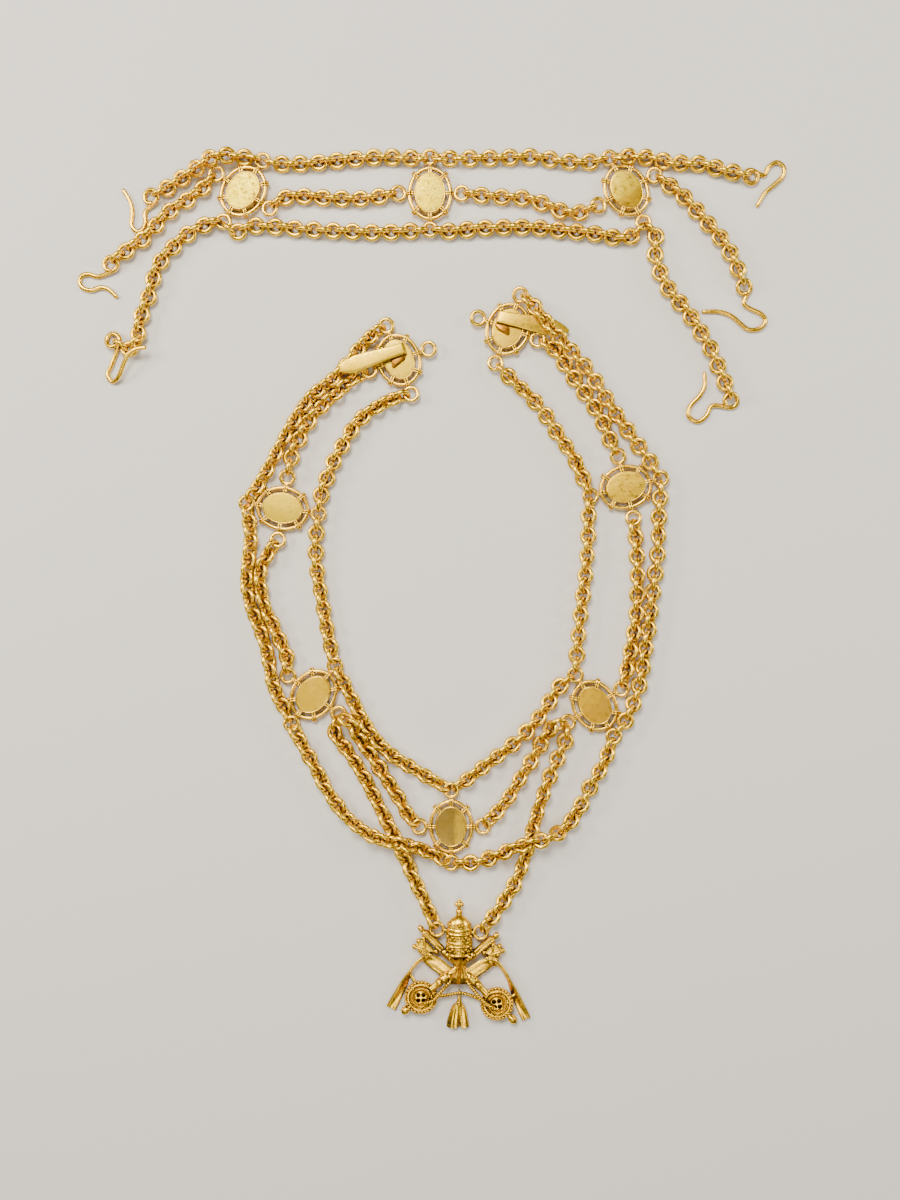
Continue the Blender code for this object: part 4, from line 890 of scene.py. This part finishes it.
# Badge, tiara: cast and chased in one with its three crowns of leaves and pearls, ball and cross, then gilt.
# It is round in front and flat behind, and two rings soldered to its sides hang on the badge strands.
CROWN_WIDTH = 0.0118
CROWN_LENGTH = 0.0186
CROWN_DEPTH = 0.0080
CROWN_FOOT = 0.0034
CROWN_SAG = 0.0009
CROWN_ROWS = (
    (0.0, 0.62), (0.03, 0.80), (0.06, 0.90), (0.09, 0.86), (0.12, 0.86), (0.20, 0.91), (0.27, 0.93), (0.30, 1.0),
    (0.33, 0.95), (0.35, 0.95), (0.38, 1.0), (0.41, 0.92), (0.50, 0.92), (0.57, 0.92), (0.60, 1.0), (0.63, 0.94),
    (0.65, 0.94), (0.68, 0.99), (0.71, 0.90), (0.75, 0.87), (0.80, 0.81), (0.84, 0.76), (0.90, 0.64), (0.94, 0.50),
    (0.97, 0.36), (1.0, 0.20),
)
FINIAL_BALL = 0.0032
badge_spot = Matrix.Translation((*BADGE_PLACE, 0.0))


def crown_point(share, around, proud=0.0):
    """Point on the tiara: share of its height, angle from the top of the relief, and how far it stands proud."""
    shares, radii = zip(*CROWN_ROWS)
    radius = float(np.interp(share, shares, radii)) * CROWN_WIDTH / 2 + proud
    sag = CROWN_SAG * max(0.0, math.cos(around)) * math.sin(math.pi * min(1.0, share))
    return Vector((radius * math.sin(around), CROWN_FOOT + CROWN_LENGTH * share - sag,
                   CROWN_DEPTH / 2 + radius * math.cos(around) * CROWN_DEPTH / CROWN_WIDTH))


def flower_parts(share, turn, size):
    """A round boss with six petals, laid on the tiara."""
    middle = crown_point(share, turn, 0.0002)
    parts = [bead(middle, size * 0.42, 0.9, 10)]
    for i in range(6):
        a = math.tau * i / 6
        rise = size * 0.70 * math.sin(a) / CROWN_LENGTH
        lean = turn + size * 0.70 * math.cos(a) / (CROWN_WIDTH * 0.36)
        parts.append(bead(crown_point(share + rise, lean, 0.0001), size * 0.36, 0.9, 10))
    return parts


def crown_parts():
    """Body of the tiara, pearls between the rims of its crowns, their leaves and flowers, and the ball and cross."""
    shares = sorted({row[0] for row in CROWN_ROWS} | {i / 40 for i in range(41)})
    parts = [skin([[crown_point(s, math.tau * j / 48) for j in range(48)] for s in shares])]
    front = [math.radians(-100 + 200 * i / 18) for i in range(19)]
    for share, size in ((0.10, 0.00034), (0.34, 0.00042), (0.64, 0.00038)):
        parts += [bead(crown_point(share, turn, 0.0001), size, sides=8) for turn in front]
    for share, leaves, size in ((0.19, 7, 0.00072), (0.49, 7, 0.00078), (0.77, 6, 0.00060)):
        for i in range(leaves):
            turn = math.radians(-96 + 192 * i / (leaves - 1))
            parts.append(bead(crown_point(share + 0.045, turn, 0.0002), size, 0.9, 12))
            for lean in (-0.17, 0.17):
                parts.append(bead(crown_point(share - 0.015, turn + lean, 0.0001), size * 0.72, 0.9, 10))
            if i < leaves - 1:
                between = turn + math.radians(96 / (leaves - 1))
                parts.append(bead(crown_point(share + 0.01, between, 0.0), size * 0.5, 0.9, 8))
    parts += flower_parts(0.80, 0.0, 0.0013)
    top = CROWN_FOOT + CROWN_LENGTH
    middle = BADGE_HEIGHT
    parts.append(sweep([(0, top - 0.0014, middle), (0, top + 0.0004, middle)], [0.0013, 0.0009], 14))
    parts.append(ring_part((0, top + 0.0002, middle), Vector((1, 0, 0)), 0.0028, 0.0008, 90.0))
    parts.append(bead((0, top + 0.0015, middle), FINIAL_BALL / 2, 1.0, 20))
    parts.append(sweep([(0, top + 0.0026, middle), (0, top + 0.0040, middle)], [0.0008, 0.0006], 10))
    for x, y, size in ((0, 0.0047, 0.0013), (-0.0011, 0.0048, 0.0011), (0.0011, 0.0048, 0.0011),
                       (0, 0.0059, 0.0011), (0, 0.0067, 0.0006)):
        parts.append(bead((x, top + y, middle), size, 0.85, 14))
    return parts


def hanging_parts():
    """The two rings, tipped up by their links, and the stubs that hold them."""
    parts = []
    for x, y in BADGE_RINGS.values():
        parts.append(ring_part((x, y, BADGE_HEIGHT), Vector((1, 0, 0)), RING_DIAMETER, RING_WIRE, 8.0))
        inner = Vector((x - math.copysign((RING_DIAMETER - RING_WIRE) / 2, x), y, BADGE_HEIGHT))
        root = Vector((math.copysign(CROWN_WIDTH * 0.36, x), y - 0.0010, BADGE_HEIGHT))
        parts.append(sweep([inner, inner.lerp(root, 0.5), root], [0.0010, 0.0009, 0.0013], 12))
    return parts


# Painted shade: the near-black brown and the wider crevice reach darken every hollow and joint of the badge, so its
# relief stands out in dark lines.
badge_gilt = gilding("chased_gilt_badge_painted_shading", (0.90, 0.54, 0.018), (0.06, 0.022, 0.002), roughness=0.28, grain=0.3,
                     tarnish=0.35, crevice=0.0022, open_share=0.92)
fitted("tiara", [moved(part, badge_spot) for part in crown_parts()], badge_gilt, "badge")
fitted("badge_rings", [moved(part, badge_spot) for part in hanging_parts()], badge_gilt, "badge")

# Badge, keys: two cast keys crossed behind the tiara, with ridged stems, collars, clover-cut wards and round bows.
# Each bow is a chased disc with a gadrooned rim, pierced by four small holes, and has a ball at its end.
KEY_STEM = 0.0036
BOW_DIAMETER = 0.0154
BOW_THICKNESS = 0.0050
KEYS = {
    "falling": {"tip": (-0.0184, 0.0171), "bow": (0.0169, -0.0178), "height": 0.0034},
    "rising": {"tip": (0.0178, 0.0139), "bow": (-0.0171, -0.0149), "height": 0.0038},
}
KEY_ROWS = (
    (0.0, 0.30), (0.01, 0.55), (0.03, 0.75), (0.05, 0.72), (0.065, 0.52), (0.075, 0.80), (0.085, 0.95), (0.30, 0.95),
    (0.31, 0.70), (0.325, 1.10), (0.34, 1.12), (0.35, 0.78), (0.365, 1.12), (0.38, 1.12), (0.39, 0.78), (0.405, 1.02),
    (0.42, 0.74), (0.60, 0.80), (0.63, 0.80), (0.65, 1.20), (0.67, 1.0), (0.70, 1.35), (0.725, 1.32), (0.74, 0.9),
    (0.755, 1.1), (0.78, 1.0), (0.80, 0.8), (0.87, 0.9),
)
KEY_END = ((1.13, 0.40), (1.155, 0.42), (1.165, 0.75), (1.18, 0.98), (1.20, 1.04), (1.22, 0.95), (1.24, 0.55))
WARD_FOOT = 0.0020
WARD_TOP = 0.0042
WARD_LOBE = 0.00125
WARDS = {
    "falling": (
        (-0.0158, 0.0126), (-0.0189, 0.0113), (-0.0212, 0.0081), (-0.0185, 0.0059), (-0.0167, 0.0063),
        (-0.0171, 0.0041), (-0.0144, 0.0018), (-0.0122, 0.0032), (-0.0126, 0.0054), (-0.0090, 0.0054),
    ),
    "rising": (
        (0.0149, 0.0099), (0.0189, 0.0090), (0.0207, 0.0063), (0.0185, 0.0041), (0.0167, 0.0032),
        (0.0167, 0.0009), (0.0140, -0.0005), (0.0117, 0.0018), (0.0126, 0.0041), (0.0099, 0.0054),
    ),
}
BOW_RIDGES = ((0.0033, 0.00070), (0.0048, 0.00080))
BOW_TEETH = 27
HOLE_REACH = 0.0017
HOLE_RADIUS = 0.00078


def turned_part(start, end, rows, half, sides=20):
    """A turned piece along a line; rows are share of the way and radius as a share of half the stem."""
    start, end = Vector(start), Vector(end)
    forward = (end - start).normalized()
    side = forward.cross(Vector((0, 0, 1))).normalized()
    up = side.cross(forward)
    turns = [math.tau * j / sides for j in range(sides)]
    return skin([[start.lerp(end, s) + r * half * (math.cos(a) * side + math.sin(a) * up) for a in turns]
                 for s, r in rows])


def bow_height(reach, angle):
    """Height of a bow's chased face at a distance and angle from its middle."""
    height = BOW_THICKNESS * 0.78
    for middle, rise in BOW_RIDGES:
        rope = 1.0 + 0.18 * math.cos(36.0 * angle + reach * 2600.0)
        height += rise * rope * math.exp(-((reach - middle) / 0.00032) ** 2)
    height += 0.0006 / (1 + math.exp((reach - 0.0027) / 0.00012))
    for i in range(4):
        hole = math.radians(45 + 90 * i)
        apart = math.hypot(reach * math.cos(angle) - HOLE_REACH * math.cos(hole),
                           reach * math.sin(angle) - HOLE_REACH * math.sin(hole))
        height -= 0.0022 / (1 + math.exp((apart - HOLE_RADIUS) / 0.00007))
    return height


def bow_parts(centre, lean):
    """Disc with its chased face, and the gadrooned rim with a plain lip inside it."""
    half = BOW_DIAMETER / 2
    turns = [math.tau * j / 120 for j in range(120)]
    rows = [[Vector((half * 0.86 * math.cos(a), half * 0.86 * math.sin(a), 0.0)) for a in turns],
            [Vector((half * 0.93 * math.cos(a), half * 0.93 * math.sin(a), BOW_THICKNESS * 0.35)) for a in turns]]
    for reach in [half * 0.93] + [0.0064 - 0.00014 * i for i in range(46)]:
        rows.append([Vector((reach * math.cos(a), reach * math.sin(a), bow_height(reach, a))) for a in turns])
    rim = []
    for i in range(216):
        a = math.tau * i / 216
        out = Vector((math.cos(a), math.sin(a), 0.0))
        lobe = abs(math.sin(BOW_TEETH * a / 2)) ** 1.2
        ring = []
        for j in range(14):
            b = math.tau * j / 14
            radius = 0.00046 + 0.00086 * lobe * max(0.0, math.cos(b - 0.9)) ** 0.5
            ring.append(out * (half - 0.00118 + radius * math.cos(b))
                        + Vector((0, 0, BOW_THICKNESS * 0.72 + radius * math.sin(b))))
        rim.append(ring)
    stand = Matrix.Translation((*centre, 0.0)) @ Matrix.Rotation(math.radians(lean), 4, "Z")
    return [moved(skin(rows), stand), moved(skin(rim, closed=True), stand)]


def ward_parts(outline):
    """The clover-cut plate of the wards: a lobe at each corner, and two raised bars across it."""
    corners = [Vector(point) for point in outline]
    middle = sum(corners, Vector((0, 0))) / len(corners)
    plate = [middle + (corner - middle) * 0.74 for corner in corners]
    height = (WARD_FOOT + WARD_TOP) / 2
    parts = [cushion([tuple(point) for point in plate], WARD_FOOT, WARD_TOP)]
    for i, corner in enumerate(corners):
        spot = corner.lerp(middle, WARD_LOBE / (corner - middle).length)
        parts.append(bead((*spot, height), WARD_LOBE * (1.0 if i % 3 else 1.15), 1.15, 14))
    for first, second in ((2, 8), (0, 6)):
        ends = [corners[i].lerp(middle, 0.3) for i in (first, second)]
        parts.append(sweep([(*ends[0], WARD_TOP), (*ends[0].lerp(ends[1], 0.5), WARD_TOP + 0.0002),
                            (*ends[1], WARD_TOP)], 0.00052, 10))
    return parts


def key_parts(name):
    """Stem, double ridge along it, wards, bow and end ball of one key."""
    key = KEYS[name]
    tip, bow = Vector((*key["tip"], key["height"])), Vector((*key["bow"], key["height"]))
    parts = [turned_part(tip, bow, KEY_ROWS, KEY_STEM / 2), turned_part(tip, bow, KEY_END, KEY_STEM / 2)]
    forward = (bow - tip).normalized()
    side = forward.cross(Vector((0, 0, 1))).normalized()
    for offset in (-0.0007, 0.0007):
        ridge = [tip.lerp(bow, s) + side * offset + Vector((0, 0, KEY_STEM * 0.40)) for s in (0.085, 0.2, 0.30)]
        parts.append(sweep(ridge, 0.00045, 10))
    return parts + ward_parts(WARDS[name]) + bow_parts(key["bow"], 8.0 if name == "falling" else 0.0)


for key in KEYS:
    fitted("key_" + key, [moved(part, badge_spot) for part in key_parts(key)], badge_gilt, "badge")

# Badge, ribbons and gusset: strips of sheet bent in an arch from the pleated plate over the crossing to their tails.
# All are soldered to the keys, and a short strut holds each tail to its bow.
SHEET = 0.0012
RIB_RISE = 0.00016
RIBBONS = {
    "left": (
        (-0.0046, -0.0044, 0.0034, 0.0060, 0.0012), (-0.0100, -0.0002, 0.0034, 0.0062, 0.0010),
        (-0.0140, 0.0020, 0.0032, 0.0050, 0.0022), (-0.0176, 0.0016, 0.0032, 0.0020, 0.0038),
        (-0.0216, -0.0030, 0.0030, 0.0018, 0.0040), (-0.0252, -0.0098, 0.0024, 0.0034, 0.0026),
        (-0.0306, -0.0203, 0.0012, 0.0044, 0.0012),
    ),
    "right": (
        (0.0044, -0.0050, 0.0034, 0.0058, 0.0012), (0.0100, -0.0012, 0.0034, 0.0058, 0.0010),
        (0.0144, 0.0006, 0.0032, 0.0044, 0.0024), (0.0186, -0.0012, 0.0032, 0.0020, 0.0038),
        (0.0224, -0.0076, 0.0030, 0.0020, 0.0036), (0.0260, -0.0160, 0.0022, 0.0034, 0.0024),
        (0.0302, -0.0252, 0.0012, 0.0040, 0.0012),
    ),
}
STRUTS = (
    ((-0.0218, -0.0052, 0.0028), (-0.0188, -0.0098, 0.0028)),
    ((0.0248, -0.0140, 0.0028), (0.0214, -0.0160, 0.0028)),
)
GUSSET_ROWS = (
    (0.0048, -0.0006, 0.0018, 0.0054), (0.0030, -0.0012, 0.0022, 0.0060), (0.0006, -0.0018, 0.0026, 0.0064),
    (-0.0020, -0.0030, 0.0034, 0.0067), (-0.0042, -0.0046, 0.0046, 0.0068), (-0.0060, -0.0064, 0.0060, 0.0066),
    (-0.0076, -0.0078, 0.0072, 0.0060),
)


def ribbon_part(rows, outward):
    """A strip of sheet whose face turns on edge at the arch and lies flat again at its tail."""
    line, _ = smooth_run([Vector(row[:3]) for row in rows])
    count = len(line)
    rings = []
    for i, centre in enumerate(line):
        along = i / (count - 1) * (len(rows) - 1)
        places = range(len(rows))
        width = float(np.interp(along, places, [row[3] for row in rows]))
        depth = float(np.interp(along, places, [row[4] for row in rows]))
        lean = math.atan2(max(depth - SHEET, 0.0), max(width - SHEET, 0.0001))
        forward = (line[min(i + 1, count - 1)] - line[max(i - 1, 0)]).normalized()
        side = forward.cross(Vector((0, 0, 1))).normalized() * outward
        face = side * math.cos(lean) + Vector((0, 0, 1)) * math.sin(lean)
        thick = Vector((0, 0, 1)) * math.cos(lean) - side * math.sin(lean)
        half = math.hypot(width, depth) / 2
        ring = []
        for j in range(28):
            a = math.tau * (j + 0.5) / 28
            across = math.copysign(abs(math.cos(a)) ** 0.5, math.cos(a))
            up = math.copysign(abs(math.sin(a)) ** 0.5, math.sin(a)) * SHEET / 2
            up += RIB_RISE * math.cos(across * 9.4) * (1 - across ** 4) * (math.sin(a) > 0)
            ring.append(centre + face * across * half + thick * up)
        rings.append(ring)
    return skin(rings)


def relief_part(rows, steps, low, height, hem):
    """A cast plate with a flat back: rows of y, left, right and top; height and hem shape its face and lower edge."""
    columns = [np.array(column) for column in zip(*rows)]
    places = np.linspace(0, 1, len(rows))
    rings = []
    for i in range(steps + 1):
        share = i / steps
        y, left, right, top = (float(np.interp(share, places, column)) for column in columns)
        face = [-1 + j / 24 for j in range(49)]
        spots = [(left + (right - left) * (across + 1) / 2, y - hem(share, across)) for across in face]
        ring = [Vector((*spot, low + (top - low) * height(share, across))) for spot, across in zip(spots, face)]
        ring += [Vector((*spots[j], low)) for j in (48, 24, 0)]
        rings.append(ring)
    return skin(rings)


def gusset_height(share, across):
    """One sharp ridge down the middle, fine pleats beside it, and edges that fall away."""
    crest = 0.45 + 0.55 * (1 - abs(across)) ** 0.9
    pleat = 0.05 * math.cos(across * 21.0) * (1 - abs(across) ** 3) * min(1.0, share * 2.5)
    return crest + pleat + 0.10 * math.exp(-(across * 14.0) ** 2)


def gusset_hem(share, across):
    """Three points along the lower edge."""
    return share ** 3 * (0.0009 * math.cos(across * 9.4) + 0.0006 * abs(across))


for side, rows in RIBBONS.items():
    fitted("ribbon_" + side, [moved(ribbon_part(rows, 1 if side == "left" else -1), badge_spot)],
           badge_gilt, "badge")
trim = [relief_part(GUSSET_ROWS, 28, 0.0016, gusset_height, gusset_hem)]
trim += [sweep(strut, 0.0008, 10) for strut in STRUTS]
fitted("gusset", [moved(part, badge_spot) for part in trim], badge_gilt, "badge")

# Badge, cord and tassel: a cord of two gilt wires twisted together joins the gusset to both bows and hangs between.
# The tassel is a flat cast bell in two lobes under a stem and a loop, hung on the cord by a small ring of its own.
STRAND_WIRE = 0.00045
CORD_TURN = 0.0023
CORD_RUNS = (
    ((-0.0158, -0.0172, 0.0054), (-0.0118, -0.0158, 0.0060), (-0.0080, -0.0118, 0.0056), (-0.0040, -0.0076, 0.0046)),
    ((0.0034, -0.0072, 0.0046), (0.0078, -0.0128, 0.0056), (0.0122, -0.0172, 0.0060), (0.0160, -0.0196, 0.0054)),
    ((-0.0104, -0.0146, 0.0034), (-0.0050, -0.0139, 0.0032), (0.0000, -0.0131, 0.0030),
     (0.0050, -0.0140, 0.0032), (0.0104, -0.0164, 0.0036)),
)
TASSEL_PLACE = (0.0000, -0.0131, 0.0030)
TASSEL_RING = 0.0034
TASSEL_WIRE = 0.0008
TASSEL_ROWS = (
    (-0.0050, -0.0014, 0.0012, 0.0036), (-0.0055, -0.0027, 0.0020, 0.0040), (-0.0062, -0.0030, 0.0024, 0.0041),
    (-0.0080, -0.0039, 0.0031, 0.0043), (-0.0102, -0.0047, 0.0036, 0.0044), (-0.0126, -0.0054, 0.0040, 0.0042),
    (-0.0148, -0.0057, 0.0044, 0.0038),
)


def tassel_height(share, across):
    """Two lobes with a fold between them that deepens downwards, and a small pleat on each."""
    fold = 0.34 * share * math.exp(-((across - 0.12) * 7.0) ** 2)
    pleats = 0.06 * math.cos((across - 0.12) * 9.0) * min(1.0, share * 1.6)
    return 0.86 - 0.30 * abs(across) ** 3 - fold + pleats


def tassel_hem(share, across):
    """Round lower ends of the two lobes, with a notch between them."""
    return share ** 4 * (0.0012 - 0.0022 * math.exp(-((across - 0.12) * 6.0) ** 2) - 0.0010 * abs(across) ** 3)


def twisted_parts(run):
    """Two wires laid round each other along a run."""
    line, way = smooth_run([Vector(point) for point in run])
    count = int(way[-1] / CORD_TURN * 10)
    parts = []
    for start in (0.0, math.pi):
        points = []
        for i in range(count + 1):
            reach = way[-1] * i / count
            centre = point_at((line, way), reach)
            ahead = point_at((line, way), min(reach + 0.0002, way[-1])) - point_at((line, way), max(reach - 0.0002, 0))
            side = ahead.cross(Vector((0, 0, 1))).normalized()
            up = side.cross(ahead.normalized())
            a = start + math.tau * reach / CORD_TURN
            points.append(centre + (math.cos(a) * side + math.sin(a) * up) * STRAND_WIRE * 0.92)
        parts.append(sweep(points, STRAND_WIRE, 8))
    return parts


cord_parts = [part for run in CORD_RUNS for part in twisted_parts(run)]
fitted("badge_cord", [moved(part, badge_spot) for part in cord_parts], badge_gilt, "badge")
hang = Vector(TASSEL_PLACE)
half_ring = (TASSEL_RING - TASSEL_WIRE) / 2
ring_line = [hang + Vector((0.0, half_ring * math.sin(math.tau * i / 24), half_ring * math.cos(math.tau * i / 24)))
             for i in range(24)]
tassel_parts = [
    moved(relief_part(TASSEL_ROWS, 30, 0.0008, tassel_height, tassel_hem), Matrix.Translation((hang.x, hang.y, 0.0))),
    sweep(ring_line, TASSEL_WIRE / 2, 10, closed=True),
    sweep([hang + Vector((0, -0.0019, 0)), hang + Vector((0, -0.0034, -0.0002)), hang + Vector((0, -0.0056, -0.0004))],
          [0.0007, 0.0010, 0.0012], 14),
    ring_part(hang + Vector((0, -0.0042, -0.0003)), Vector((1, 0, 0)), 0.0029, 0.0009, 90.0),
]
fitted("tassel_bell", [moved(part, badge_spot) for part in tassel_parts], badge_gilt, "tassel")
